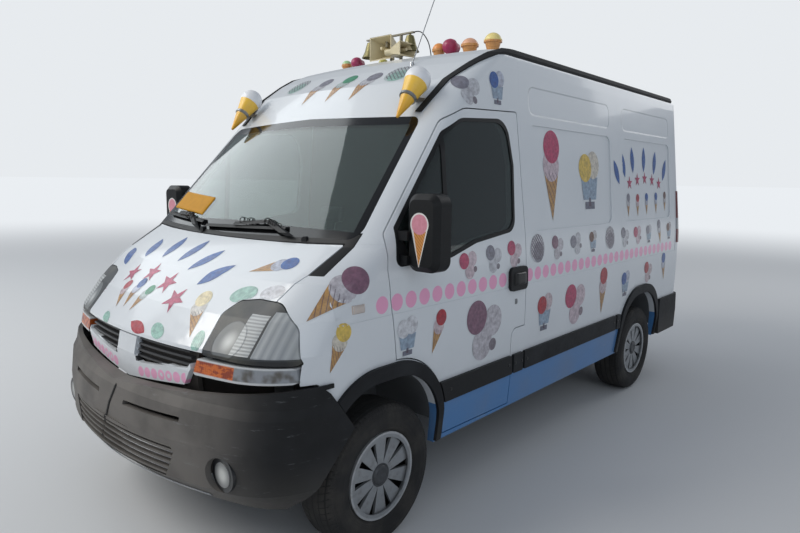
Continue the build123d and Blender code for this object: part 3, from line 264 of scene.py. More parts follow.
coat = (scrape * 0.5).mix(coat, "8f9aa5")
coat = (dust * 0.30).mix(coat, DIRT)
paint.look(Base_Color=coat, Roughness=0.26 + 0.10 * paint.noise(90, 3) + 0.2 * dust)
dent = paint.distance(paint.point, 0.41, -2.26, 1.055).ramp(0.16, 0.02) * front
pressed = sum((outlined(paint, y - AXLE_Y, z, box, 0.05, 0.012) for box in PRESSINGS), 0.0) * side
paint.bump(dent * paint.noise(9, 1) - 0.35 * pressed + 0.004 * paint.noise(3, 1), 0.02, 1.0)
paint.dress("bonnet", "wing_left", "wing_right", "side_panel_left", "side_panel_right", "roof_panel",
            "front_door_left", "front_door_right", "rear_door_left", "rear_door_right", "sliding_door")

# Prints: cut vinyl films of cones, scoops, cups, stars and other shop motifs, laid on the skin. Each
# film follows the panel under it, about a millimetre proud where the skin bends.
# Prints on the sides, as kind, distance behind the front axle, height, size, turn and colour
SIDE_PRINTS = (
    ("cone", -0.265, 1.235, 0.185, -52, PLUM), ("cone", -0.30, 1.02, 0.115, -25, YELLOW),
    ("cup", 0.134, 1.0, 0.13, 0, WHITE_ICE), ("cone", 0.36, 0.975, 0.12, -20, RED),
    ("balls", 0.77, 0.925, 0.22, 0, PLUM), ("balls", 0.62, 1.285, 0.10, 20, MAGENTA),
    ("balls", 0.856, 1.296, 0.10, 0, GREY), ("balls", 1.072, 1.306, 0.10, 0, MAGENTA),
    ("waffle", 1.336, 1.308, 0.105, 0, GREY), ("balls", 1.591, 1.305, 0.10, 0, PLUM),
    ("balls", 1.854, 1.311, 0.10, 30, GREY), ("cup", 2.113, 1.311, 0.105, 0, COFFEE),
    ("waffle", 2.40, 1.308, 0.10, 0, GREY), ("balls", 2.679, 1.304, 0.10, 0, GREY),
    ("balls", 2.933, 1.309, 0.10, 20, MAGENTA), ("cup", 3.178, 1.305, 0.105, 0, GREY),
    ("cone", 3.424, 1.302, 0.11, 15, GREY), ("cup", 3.663, 1.305, 0.105, 0, COFFEE),
    ("cup", 1.443, 0.916, 0.165, 0, RED), ("balls", 1.864, 0.915, 0.19, 10, MAGENTA),
    ("cone", 2.301, 0.935, 0.18, 0, RED), ("cup", 2.72, 0.945, 0.14, 0, BLUE),
    ("balls", 3.19, 0.985, 0.115, 0, RED), ("cone", 3.56, 0.99, 0.13, 12, BLUE),
    ("cone", 1.557, 1.751, 0.30, 0, MAGENTA), ("cup", 2.10, 1.743, 0.28, 0, YELLOW),
    ("petal", 2.55, 1.785, 0.10, 28, BLUE), ("petal", 2.70, 1.845, 0.10, 18, BLUE),
    ("petal", 2.88, 1.885, 0.10, 6, BLUE), ("petal", 3.12, 1.895, 0.10, -4, BLUE),
    ("petal", 3.36, 1.875, 0.10, -14, BLUE), ("petal", 3.59, 1.82, 0.10, -26, BLUE),
    ("star", 2.814, 1.706, 0.055, 0, MAGENTA), ("star", 2.975, 1.732, 0.055, 0, MAGENTA),
    ("star", 3.133, 1.744, 0.055, 0, MAGENTA), ("star", 3.296, 1.731, 0.055, 0, MAGENTA),
    ("star", 3.454, 1.704, 0.055, 0, MAGENTA), ("cone", 2.78, 1.54, 0.095, 0, GREY),
    ("cone", 2.97, 1.535, 0.095, 0, RED), ("cone", 3.163, 1.541, 0.095, 0, BLUE),
    ("cone", 3.377, 1.543, 0.095, 0, BLUE), ("cone", 3.59, 1.554, 0.09, 0, COFFEE),
    ("balls", 0.70, 2.19, 0.11, 0, GREY), ("cup", 0.96, 2.225, 0.13, 0, BLUE),
)
# Prints on the bonnet and above the windscreen, as kind, x, way up the slope, size, turn and colour
FRONT_PRINTS = (
    ("star", -0.372, -0.859, 0.065, 10, MAGENTA), ("star", -0.178, -0.836, 0.065, 0, MAGENTA),
    ("star", 0.032, -0.874, 0.07, -10, MAGENTA), ("star", 0.19, -0.950, 0.075, -20, MAGENTA),
    ("star", -0.562, -0.926, 0.065, 25, MAGENTA), ("cone", -0.29, -0.985, 0.09, 20, RED),
    ("cone", -0.185, -0.965, 0.095, 0, BLUE), ("cone", -0.075, -0.985, 0.09, -20, GREEN),
    ("petal", 0.06, -1.125, 0.08, 80, RED), ("oval", 0.577, -0.824, 0.07, -60, MINT),
    ("oval", 0.223, -1.109, 0.055, 70, MINT), ("oval", 0.506, -1.085, 0.05, 10, MINT),
    ("oval", -0.286, -1.127, 0.045, 60, MINT), ("oval", 0.716, -0.774, 0.06, -60, WHITE_ICE),
    ("cone", 0.40, -0.975, 0.13, 24, CREAM), ("cone", 0.59, -0.635, 0.13, -55, BLUE),
    ("petal", -0.636, -0.737, 0.10, 45, BLUE),
    ("petal", -0.47, -0.655, 0.10, 30, BLUE), ("petal", -0.27, -0.63, 0.10, 12, BLUE),
    ("petal", -0.06, -0.64, 0.10, -6, BLUE), ("petal", 0.13, -0.69, 0.10, -22, BLUE),
    ("petal", 0.31, -0.765, 0.10, -36, BLUE), ("waffle", -0.476, 0.775, 0.11, 0, MINT),
    ("waffle", 0.417, 0.765, 0.11, 0, MINT), ("cone", -0.185, 0.665, 0.15, -7, GREY),
    ("cone", 0.03, 0.665, 0.15, -8, GREEN), ("cone", 0.23, 0.665, 0.15, -9, GREY),
)


def zigzag(value):
    """One tooth for each unit of a value: 0.5 at whole numbers, falling straight to 0 halfway between."""
    return abs(value % 1.0 - 0.5)


def motifs(finish, kind, p):
    """Masks of one kind's shapes in a circle of radius 1: body, second tone, wafer and dark lines."""
    a, b, _ = finish.parts(p)
    wide = abs(a)
    none = wide * 0

    def disc(u, v, radius):
        return finish.distance(p, u, v, 0) < radius

    if kind == "cone":
        wafer = (wide < (b + 0.95) * 0.30) * (b < 0.05)
        return disc(0.04, 0.58, 0.34), disc(0, 0.20, 0.34), wafer, (zigzag(b * 5 + a * 7) < 0.1) * wafer
    if kind == "balls":
        return (disc(-0.32, 0.28, 0.42), disc(0.38, 0.10, 0.40), disc(-0.05, -0.42, 0.42),
                disc(0.42, -0.52, 0.16))
    if kind == "cup":
        bowl = (wide < 0.26 + 0.2 * b + 0.2) * (b < 0.0) * (b > -0.55)
        foot = (wide < 0.26) * (b < -0.6) * (b > -0.78) + (wide < 0.06) * (b < -0.5) * (b > -0.7)
        return disc(-0.22, 0.22, 0.34), disc(0.22, 0.30, 0.34), bowl, foot
    if kind == "waffle":
        grid = (zigzag(a * 4 + b * 4) < 0.17) + (zigzag(a * 4 - b * 4) < 0.17)
        return disc(0.1, -0.2, 0.6), disc(0, 0, 0.8), none, grid * disc(0, 0.1, 0.75)
    if kind == "petal":
        return wide < 0.36 * (1 - b * b), none, none, none
    if kind == "oval":
        body = wide < 0.6 * (1 - b * b) ** 0.5
        return body, none, none, (zigzag(b * 5 + a * 4) < 0.12) * body * 0.4
    fifth = 2 * math.pi / 5
    fold = abs((finish.maths("ARCTAN2", a, b) + fifth / 2) % fifth - fifth / 2)
    reach = Amount(finish, finish.node("VectorMath", {"operation": "LENGTH"}, i0=p).outputs["Value"])
    out_arm, off_arm = reach * finish.maths("COSINE", fold), reach * finish.maths("SINE", fold)
    return 0.2351 * (out_arm - 1.0) + 0.6764 * off_arm < 0.0, none, none, none


def film_finish(kind):
    """Printed vinyl of one kind: clear film round a motif that is drawn in the film's own square."""
    film = Finish(f"film_{kind}", Roughness=0.3, Coat_Weight=0.3, Coat_Roughness=0.08)
    square = film.node("TexCoord").outputs["UV"]
    local = film.node("Mapping", Vector=square, Location=(-1, -1, 0), Scale=(2, 2, 1)).outputs[0]
    shade = film.node("Attribute", {"attribute_name": "ink"}).outputs["Color"]
    body, second, wafer, lines = motifs(film, kind, local)
    light = film.mix(0.72, shade, WHITE_ICE)
    tone = second.mix({"cone": "c79a5e", "cup": "9fb4c8"}.get(kind, light), light)
    tone = body.mix(tone, shade)
    tone = (film.noise(35, 3).ramp(0.35, 0.7) * 0.35).mix(tone, LINE_TONE)
    tone = (lines * 0.7).mix(tone, LINE_TONE)
    shown = film.maths("MINIMUM", body + second + wafer + lines, 1.0)
    film.look(Base_Color=tone, Alpha=shown * (0.97 - film.noise(60, 2).ramp(0.2, 0.8) * 0.3))
    return film.material


def caster(*names):
    """A search tree over the meshes of some nodes."""
    points, faces = [], []
    for name in names:
        shape = NODES[name].data
        shape.calc_loop_triangles()
        faces += [[v + len(points) for v in t.vertices] for t in shape.loop_triangles]
        points += [tuple(v.co) for v in shape.vertices]
    return BVHTree.FromPolygons(points, faces)


SKINS = {name: caster(name) for name in ("bonnet", "front_door_left", "front_door_right")}
SKINS["van"] = caster("wing_left", "wing_right", "side_panel_left", "side_panel_right", "roof_panel",
                      "sliding_door")
UP_SLOPE, OFF_SLOPE = Vector((0, 0.770, 0.638)), Vector((0, -0.638, 0.770))
FILM_CELLS, FILM_RISE = 22, 0.0014
CAST_BACK = 0.15
LINE_TONE = "5a4a58"
# How far each kind of motif reaches to each side in its own circle of radius 1
FILM_REACH = {"cone": 0.44, "cup": 0.62, "waffle": 0.88, "balls": 0.86, "petal": 0.42, "star": 1.0,
              "oval": 0.66}
FILMS = {kind: film_finish(kind) for kind in FILM_REACH}


def on_skin(skins, u, v, side):
    """The skin's point and outward normal under a point of the left (1), right (-1) or front (0) plane."""
    if side:
        start, aim = Vector((2.0 * side, AXLE_Y + u, v)), Vector((-side, 0, 0))
    else:
        start, aim = Vector((u, 0, 0)) + UP_SLOPE * v + OFF_SLOPE * 3.0, -OFF_SLOPE
    place, normal, _, _ = skins.ray_cast(start, aim)
    if place is None:
        place, normal, _, _ = skins.find_nearest(start + aim * 1.02)
    return place, normal if normal.dot(aim) < 0 else -normal


def drape(skins, u, v, side, us, vs):
    """A square grid of points laid on the skin along the normal at its centre, bridging gaps between panels.

    A height that is more than 4 mm off the median of its neighbours is set to that median.
    """
    centre, normal = on_skin(skins, u, v, side)
    rise = UP if side else UP_SLOPE
    up_way = (rise - normal * rise.dot(normal)).normalized()
    right_way = up_way.cross(normal) * (side or 1)
    bases = [centre + right_way * du + up_way * dv for du, dv in zip(us, vs)]
    heights = []
    for base in bases:
        reach = skins.ray_cast(base + normal * CAST_BACK, -normal, 2 * CAST_BACK)[3]
        heights.append(-1.0 if reach is None else CAST_BACK - reach)
    count = FILM_CELLS + 1
    square = np.array(heights).reshape(count, count)
    padded = np.pad(square, 1, mode="edge")
    around = np.median([padded[r:r + count, c:c + count] for r in range(3) for c in range(3)], axis=0)
    square = np.where(np.abs(square - around) > 0.004, around, square)
    spots = [base + normal * (float(height) + FILM_RISE) for base, height in zip(bases, square.ravel())]
    return spots, square


def lay_films(name, body, side, rows):
    """One mesh of films for a panel: each print's square grid, trimmed to its motif, with its ink and UVs."""
    grid = np.linspace(-1.0, 1.0, FILM_CELLS + 1)
    a, b = [axis.ravel() for axis in np.meshgrid(grid, grid)]
    cell = np.arange(FILM_CELLS * FILM_CELLS)
    first = cell + cell // FILM_CELLS
    quad = np.stack([first, first + 1, first + FILM_CELLS + 2, first + FILM_CELLS + 1], 1)
    kinds = sorted({row[0] for row in rows})
    points, faces, slots, inks, uvs = [], [], [], [], []
    for kind, u, v, size, turn, colour in rows:
        c, w = math.cos(math.radians(turn)), math.sin(math.radians(turn))
        spots, heights = drape(SKINS[body], u, v, side, size * (c * a - w * b), size * (w * a + c * b))
        held = heights.ravel()[quad]
        trimmed = (np.abs(a[quad].mean(1)) < FILM_REACH[kind]) & (np.hypot(a, b)[quad].mean(1) < 1.04)
        kept = quad[trimmed & (held.min(1) > -0.12) & (held.max(1) - held.min(1) < 0.035)]
        faces.append(kept + sum(len(block) for block in points))
        points.append(np.array([tuple(spot) for spot in spots]))
        slots += [kinds.index(kind)] * len(kept)
        inks.append(np.tile([*tint(colour), 1.0], (4 * len(kept), 1)))
        uvs.append(np.stack([a[kept].ravel(), b[kept].ravel()], 1) / 2 + 0.5)
    faces = np.concatenate(faces)
    used, places = np.unique(faces, return_inverse=True)
    faces = places.reshape(faces.shape)
    mesh = bpy.data.meshes.new(name)
    mesh.from_pydata(np.concatenate(points)[used], [], faces[:, ::-1] if side == 1 else faces)
    if side == 1:
        uvs = [block.reshape(-1, 4, 2)[:, ::-1].reshape(-1, 2) for block in uvs]
    for kind in kinds:
        mesh.materials.append(FILMS[kind])
    mesh.polygons.foreach_set("material_index", slots)
    mesh.uv_layers.new(name="film").data.foreach_set("uv", np.concatenate(uvs).ravel())
    ink = mesh.color_attributes.new("ink", "FLOAT_COLOR", "CORNER")
    ink.data.foreach_set("color", np.concatenate(inks).ravel())
    piece = placed(name, mesh)
    thick = piece.modifiers.new("film", "SOLIDIFY")
    thick.thickness, thick.offset = 0.0004, -1.0
    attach(piece, body)


SIDES = ((1, "left"), (-1, "right"))
DOOR_SPAN, SLIDE_SPAN, HATCH_SPAN = (0.03, 1.19), (1.23, 2.33), (1.3, 2.3)
for side, word in SIDES:
    wing_rows = [row for row in SIDE_PRINTS if row[1] < DOOR_SPAN[0]]
    door_rows = [row for row in SIDE_PRINTS if DOOR_SPAN[0] < row[1] < DOOR_SPAN[1] and row[2] < 1.5]
    rest = [row for row in SIDE_PRINTS if row not in wing_rows + door_rows]
    lay_films(f"wing_prints_{word}", "van", side, wing_rows)
    lay_films(f"door_prints_{word}", f"front_door_{word}", side, door_rows)
    if side < 0:
        rest = [row for row in rest if not (HATCH_SPAN[0] < row[1] < HATCH_SPAN[1] and row[2] > 1.4)
                and min(abs(row[1] - edge) for edge in SLIDE_SPAN) >= row[3]]
    lay_films(f"panel_prints_{word}", "van", side, rest)
lay_films("bonnet_prints", "bonnet", 0, [row for row in FRONT_PRINTS if row[2] < 0])
lay_films("roof_prints", "van", 0, [row for row in FRONT_PRINTS if row[2] > 0])

# Grille: one pressed panel whose bar is painted white, with a row of pink beads. The slats in its two
# openings are left as grained black plastic.
bars = Finish("grille_paint", Coat_Weight=0.3, Coat_Roughness=0.1)
x, y, z = bars.at
off = abs(x)
mouth = (z > 0.874 + 0.122 * (off - 0.124)) * (off > 0.094) * (off < 0.488)
bar_v = z - 0.812 - 0.108 * off
ring_u = (off - 0.10) % 0.056 - 0.028
ring = bars.maths("SQRT", ring_u * ring_u + bar_v * bar_v)
bead = (ring < 0.0245) * (1 - (ring < 0.011) * (bars.noise(9, 0) > 0.5)) * (off > 0.10) * (off < 0.47)
coat = (bead * 0.9).mix(bars.noise(14).mix(WHITE, "c6cace"), PINK)
bars.look(Base_Color=mouth.mix(coat, bars.noise(40).mix("1c1d1f", "2c2d30")), Roughness=0.35 + 0.2 * mouth)
bars.bump(bars.noise(400, 2) * mouth, 0.0005, 0.3)
bars.dress("grille_panel")


# Inside: the load floor and the bulkhead behind the cab are sheet steel, brushed with dull grey paint
# that shows a fine grain.
def mottled(name, scale, dark, light, grain=(), detail=4.0, **fixed):
    """A finish of two tones mixed by noise. Its grain is the scale, detail, depth and strength of a bump."""
    made = Finish(name, **fixed)
    made.look(Base_Color=made.noise(scale, detail).mix(dark, light))
    return made.bump(made.noise(*grain[:2]), *grain[2:]) if grain else made


mottled("grey_lining", 6, "46484a", "5a5c5e", (220, 3, 0.0006, 0.4), Roughness=0.7).dress("floor", "bulkhead")


# Glazing: clear, slightly green toughened glass, bonded or held in rubber. The windscreen has a black
# border printed round its edge.
def glazing(name, colour, border=None):
    """Thin glass of one tone. border(finish) gives the mask of the black print on it."""
    made = Finish(name, Base_Color=colour, Roughness=0.02, Transmission_Weight=0.92, IOR=1.06,
                  Coat_Weight=1.0, Coat_Roughness=0.015)
    if border:
        ink = made.node("BsdfPrincipled", Base_Color="101113", Roughness=0.12)
        both = made.node("MixShader", i0=border(made), i1=made.surface.outputs[0], i2=ink.outputs[0])
        made.feed(made.output.inputs["Surface"], both.outputs[0])
    return made


def screen_border(finish):
    """The frit: a band along the foot and the sides, and a deeper one at the top."""
    x, y, z = finish.at
    rim = abs(x) > 0.866 - 0.137 * (z - 1.442) - 0.035
    foot = z < 1.468 + 0.02 * (1 - abs(x))
    head = z > 2.0 - 0.02 * abs(x)
    return finish.maths("MINIMUM", rim + foot + head, 1.0)


glazing("screen_glass", "a9b8b4", screen_border).dress("windscreen")
glazing("side_glass", "6c7a78").dress("door_glass_left", "door_glass_right", "serving_window")


# Lamps: aged clear mouldings over metallised bowls with ribs, amber and clear indicators under them, and
# dark red tail lamps in stacked chambers.
def chromed(name, **fixed):
    """The metallised inside of a lamp under its clear cover."""
    return Finish(name, Coat_Weight=0.35, Coat_Roughness=0.05, Roughness=0.38, **fixed)


def reach_from(finish, u, v):
    """Distance, seen from the front, from a centre on each side: u off the van's middle and v high."""
    x, y, z = finish.at
    return finish.distance(finish.node("CombineXYZ", X=abs(x), Y=z).outputs[0], u, v, 0)


head = Finish("headlamp_optics", Coat_Weight=0.15, Coat_Roughness=0.12, Roughness=0.5, Specular_IOR_Level=0.3)
x, y, z = head.at
off = abs(x)
bowl_r = reach_from(head, 0.665, 1.045)
bowl = bowl_r.ramp(0.078, 0.070)
# Painted reflections of the metallised reflector: the bowl's bright centre here, then the light stripes over
# the ribs and the light and dark stripes over the outer facets.
bowl_highlight = bowl_r.ramp(0.05, 0.0)
ribs_zone = (off > 0.70) * (off < 0.79) * (z > 1.0) * (z < 1.15)
ribs = zigzag(z * 80) * ribs_zone
outer_zone = (off > 0.80) * (z > 0.995) * (z < 1.165)
facets = zigzag(off * 34)
tone = bowl.mix("3a3d40", "6a6e71")
tone = (bowl_highlight * 0.8).mix(tone, "c6c9ca")
tone = (ribs_zone * (0.35 + ribs)).mix(tone, "c3c7c9")
tone = (outer_zone * 0.75).mix(tone, facets.mix("9da2a6", "d5d8da"))
tone = (1 - z.ramp(0.985, 0.99)).mix(tone, "2a2b2d")
haze = head.noise(5, 4).ramp(0.4, 0.8) * 0.14
head.look(Base_Color=haze.mix(tone, "b9b39a"), Metallic=0.08 + 0.06 * bowl)
head.bump(head.maths("SQRT", bowl_r) * bowl * 1.4 + 0.3 * ribs + 0.2 * facets * outer_zone, 0.010, 0.8)
head.dress("headlamps")

fog = chromed("fog_optics")
x, y, z = fog.at
lens_r = reach_from(fog, 0.735, 0.52)
pane = lens_r < 0.0525
# The pane is painted lighter towards its middle: a painted reflection of the metallised bowl behind the lens.
fog.look(Base_Color=pane.mix("202123", lens_r.ramp(0.05, 0.01).mix("8f9090", "d9dad6")), Metallic=0.6 * pane)
fog.bump(zigzag(x * 160) * pane, 0.002, 0.5)
fog.dress("fog_lamps")

blink = chromed("indicator_lens")
x, y, z = blink.at
orange = blink.noise(26, 3, 0.6, (1, 1, 2)).ramp(0.42, 0.6).mix("c8641e", "8c3412")
clear = blink.noise(18, 2).ramp(0.4, 0.7).mix("8d9196", "5b5752")
pane = z.ramp(0.899, 0.905) * z.ramp(0.956, 0.950)
blink.look(Base_Color=pane.mix("c9cbcc", abs(x).ramp(0.742, 0.735).mix(clear, orange)), Metallic=0.3)
blink.bump(zigzag(abs(x) * 90), 0.002, 0.6)
blink.dress("indicators")

ruby = chromed("tail_lens")
x, y, z = ruby.at
cells = zigzag(z * 60)
clear_band = (z > 1.30) * (z < 1.40)
ruby.look(Base_Color=clear_band.mix(cells.mix("5c0f12", "8b1a1c"), "a8aaab"), Metallic=0.1)
ruby.bump(cells, 0.001, 0.5)
ruby.dress("tail_lamps")

# Bumpers and side mouldings: grained polypropylene, moulded black and clipped on. The front bumper's face is
# lighter grey in the middle, partly faded and partly painted light where the lamps fall on it, and all of
# them are scuffed and dusty low down.
grained = Finish("grained_plastic", Specular_IOR_Level=0.3)
x, y, z = grained.at
wear = grained.noise(5, 6)
streaks = grained.noise(10, 8, 0.75, (0.5, 0.5, 4)).ramp(0.6, 0.72)
# Lighter over the middle of the front bumper's face: partly real fading, partly painted light on its lit
# front.
faded_and_lit = abs(x).ramp(0.96, 0.55) * (y < 0)
tone = wear.ramp(0.35, 0.75).mix("131416", "202124")
tone = (faded_and_lit * (0.65 + 0.35 * wear.ramp(0.3, 0.6))).mix(tone, "6b6763")
tone = (streaks * 0.45 * y.ramp(0.5, -1.5)).mix(tone, "8d8f92")
grained.look(Base_Color=(z.ramp(0.62, 0.35) * 0.35).mix(tone, "5d5a55"),
             Roughness=0.48 + 0.2 * grained.noise(40))
grained.bump(grained.noise(900, 2) + 0.5 * streaks, 0.0004, 0.4)
grained.dress("front_bumper", "rear_bumper")

strips = Finish("moulding_plastic", Specular_IOR_Level=0.25)
x, y, z = strips.at
tone = strips.noise(5, 6).ramp(0.35, 0.75).mix("16171a", "25272a")
strips.look(Base_Color=(z.ramp(0.62, 0.35) * 0.3).mix(tone, "55524c"),
            Roughness=0.45 + 0.2 * strips.noise(40))
strips.bump(strips.noise(900, 2), 0.0004, 0.4)
strips.dress("side_mouldings")

# Trim and running gear: plain black mouldings, rubber strips over the roof's seams, and painted steel
# under the floor that has begun to rust.
black = mottled("black_plastic", 30, "101112", "1b1c1e", (1200, 2, 0.0003, 0.3), Roughness=0.5,
                Specular_IOR_Level=0.3)
black.dress("scuttle", "door_trim_left", "door_trim_right", "wipers", "steering_wheel", "fuel_tank",
            "dashboard")
seam_rubber = mottled("roof_rubber", 12, "0f1011", "1d1e20", (500, 3, 0.0005, 0.4), Roughness=0.75)
seam_rubber.dress("roof_strips")
rusty = mottled("chassis_steel", 14, "2c2c2c", "4d463f", (160, 4, 0.001, 0.4), Roughness=0.7, Metallic=0.2)
rusty.dress("chassis", "rear_axle", "knuckle_left", "knuckle_right", "exhaust", "engine")

# Door mirrors: grained black housings on short arms. Each has an ice cream cone printed on the side that
# faces forwards, with a pale edge.
CONE_U, CONE_V, DOME_Z = 1.078, 1.475, 1.515
housing = Finish("mirror_plastic", Roughness=0.45, Specular_IOR_Level=0.25)
x, y, z = housing.at
front_face = y < AXLE_Y + 0.150
u, v = abs(x) - CONE_U, z - CONE_V
wafer = (abs(u - 0.02 * (v + 0.1)) < 0.036 * (v + 0.145) / 0.155) * (v < 0.012) * (v > -0.15) * front_face
dome_r = reach_from(housing, CONE_U, DOME_Z)
dome = (dome_r < 0.045) * front_face
rim = ((dome_r < 0.052) + (abs(u) < 0.043 * (v + 0.155) / 0.16) * (v < 0.02) * (v > -0.156)) * front_face
tone = housing.maths("MINIMUM", rim, 1.0).mix(housing.noise(30).mix("0d0e0f", "17181a"), "d8d6d2")
tone = wafer.mix(tone, (zigzag(v * 60 + u * 60) < 0.12).mix("c98b4c", "8f5a2c"))
tone = dome.mix(tone, housing.noise(70).mix("d99aa8", "b8707f"))
housing.look(Base_Color=tone, Roughness=0.45 - 0.15 * housing.maths("MAXIMUM", wafer, dome))
housing.bump(housing.noise(1000, 2), 0.0003, 0.3)
housing.dress("mirror_left", "mirror_right")

# Tyres: worn black rubber with a cut tread, ribbed shoulders and bare side walls. Wheels: silver-painted
# covers with ten blades over dark steel discs.
WHEEL_R, FRONT_MIDDLE, REAR_STEP = 0.342, 0.870, 0.0075


def wheel_place(finish):
    """Distance from the wheel's axis, angle round it and distance outwards from the wheel's middle."""
    x, y, z = finish.at
    rear = y > 0.0
    dy, dz = y - (AXLE_Y + WHEELBASE * rear), z - WHEEL_R
    reach = finish.maths("SQRT", dy * dy + dz * dz)
    return reach, finish.maths("ARCTAN2", dz, dy), abs(x) - (FRONT_MIDDLE - REAR_STEP * rear)


rubber = Finish("tyre_rubber", Roughness=0.8)
reach, angle, out = wheel_place(rubber)
round_cuts = abs((out + 0.02) % 0.04 - 0.02).ramp(0.004, 0.003)
cross_cuts = zigzag(angle * 11.0 + 14 * abs(out)).ramp(0.09, 0.06) * (abs(out) > 0.03)
grooves = rubber.maths("MAXIMUM", round_cuts, cross_cuts) * reach.ramp(0.328, 0.333)
ribs = zigzag(angle * 16.0).ramp(0.2, 0.1) * abs(reach - 0.322).ramp(0.010, 0.007)
rings = sum((abs(reach - at).ramp(0.0016, 0.0008) for at in (0.232, 0.24, 0.30, 0.308)), 0.0)
tone = rubber.noise(20).mix("141415", "201f1f")
tone = (rubber.noise(6, 4).ramp(0.4, 0.7) * 0.4).mix(tone, "4a4640")
# The tread grooves are painted near black: painted shade in the cuts, which the bump also sinks.
rubber.look(Base_Color=grooves.mix(tone, "0b0b0b"))
rubber.bump(rings * 0.4 - grooves + 0.4 * ribs, 0.006, 0.9)
rubber.dress(*[n for n in NODES if n.startswith("tyre_")])

silver = Finish("wheel_silver")
reach, angle, out = wheel_place(silver)
recess = out.ramp(0.075, 0.070)
tone = recess.mix(silver.noise(20).mix("8d9093", "a3a6a9"), "1a1a1b")
tone = (reach.ramp(0.196, 0.199) * (1 - recess)).mix(tone, "b5b7b9")
grime = silver.noise(25, 5).ramp(0.45, 0.75) * 0.4
silver.look(Base_Color=grime.mix(tone, "5b554d"), Roughness=0.34 + 0.3 * grime, Metallic=0.55 - 0.4 * grime)
silver.dress(*[n for n in NODES if n.startswith("wheel_")])

# Roof ornaments: moulded plastic cups of ice, beige loudspeaker horns, tarnished brass bells on a dark bar.
# They stand in a row across the roof, screwed to its skin.
CUP_TONES = ((-0.62, "a9cf9a"), (-0.485, "a02d5a"), (-0.37, "d7d06a"), (0.0, "e2954f"), (0.35, "a12a56"),
             (0.47, "e8b08f"), (0.62, "ecd98e"))
CUP_FOOT, WAFER_HIGH = 2.469, 0.058
ices = Finish("cup_plastic", Roughness=0.38)
x, y, z = ices.at
tone = CUP_TONES[0][1]
for edge_x, code in CUP_TONES:
    tone = (x > edge_x).mix(tone, code)
upright = 1 - (x > -0.485) * (x < -0.37) - (x > 0.35) * (x < 0.47)
wafer = (z < CUP_FOOT + WAFER_HIGH) * upright
tone = wafer.mix(tone, (zigzag(z * 120) < 0.15).mix("d59a5c", "b67a40"))
ices.look(Base_Color=(ices.noise(14, 4).ramp(0.4, 0.8) * 0.25).mix(tone, "8e7a66"))
ices.bump(ices.noise(60, 2), 0.002, 0.4)
ices.dress("roof_cones")

speaker = Finish("horn_plastic", Roughness=0.45)
x, y, z = speaker.at
low_bell = (z < 2.658) * (z > 2.54) * (y > AXLE_Y + 1.137)
bell_zone = low_bell * ((abs(x + 0.30) < 0.064) + (abs(x - 0.06) < 0.064) * (y > AXLE_Y + 1.165))
bar_zone = (z > 2.655) + ((abs(x + 0.018) < 0.0065) + (abs(x + 0.143) < 0.009)) * (y > AXLE_Y + 1.185)
brass = speaker.maths("MINIMUM", bell_zone, 1.0)
tone = brass.mix(speaker.noise(10).mix("d3c7a4", "bfb28e"), speaker.noise(35).mix("6d6a4a", "8c8258"))
tone = speaker.maths("MINIMUM", bar_zone, 1.0).mix(tone, "8c8674")
speaker.look(Base_Color=tone, Metallic=0.75 * brass)
speaker.bump(speaker.noise(90, 3), 0.0006, 0.4)
speaker.dress("roof_horns")

# Cone lamps and aerial: each lamp is a frosted white ball in an orange-yellow cone, held by a bright
# clamp ring. The aerial is a steel rod on the roof.
lantern = Finish("cone_lamp_plastic", Roughness=0.35)
x, y, z = lantern.at
axis = 0.613 * (y - (AXLE_Y + 0.500)) + 0.790 * (z - 2.214)
shell = axis < -0.026
clamp = (axis > -0.1265) * (axis < -0.107) * shell
bracket = (abs(abs(x) - 0.72) < 0.0205) * (y > AXLE_Y + 0.44) * (z < 2.131) * (z > 2.105)
tone = shell.mix("e4e6ea", axis.ramp(-0.26, -0.03).mix("e0a21c", "efc24a"))
tone = bracket.mix(clamp.mix(tone, "8f9294"), "6d675c")
lantern.look(Base_Color=(lantern.noise(12, 4).ramp(0.5, 0.8) * 0.2).mix(tone, "9c937e"), Metallic=0.8 * clamp)
lantern.bump(zigzag(axis * 55) * shell, 0.0015, 0.3)
lantern.dress("cone_lamps")
bright = mottled("aerial_steel", 40, "9a9c9e", "b7b9bb", Metallic=0.9, Roughness=0.25).dress("aerial")


# Fittings: small crowned mouldings pressed on the skin - side repeaters, door locks, rub strip screws, door
# paddles, a rear plate left blank and rear door catches. Each follows the panel that carries it.
def grid_faces(rows, columns, closed=False):
    """Quads over a grid of vertices; closed joins the last column to the first."""
    r, c = np.meshgrid(np.arange(rows - 1), np.arange(columns if closed else columns - 1), indexing="ij")
    r, c = r.ravel(), c.ravel()
    after = (c + 1) % columns
    here, above = r * columns, (r + 1) * columns
    return np.stack([here + c, here + after, above + after, above + c], 1)


def make(name, form, finish, body, outward=True):
    """A piece of the scene from the points and faces of its form, with its normals turned outwards."""
    points, faces = form
    mesh = bpy.data.meshes.new(name)
    mesh.from_pydata(np.asarray(points), [], [tuple(face) for face in faces])
    mesh.validate()
    if outward:
        shape = bmesh.new()
        shape.from_mesh(mesh)
        bmesh.ops.remove_doubles(shape, verts=shape.verts, dist=1e-6)
        bmesh.ops.recalc_face_normals(shape, faces=shape.faces)
        shape.to_mesh(mesh)
        shape.free()
    mesh.polygons.foreach_set("use_smooth", [True] * len(mesh.polygons))
    mesh.materials.append(finish.material)
    piece = placed(name, mesh)
    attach(piece, body)


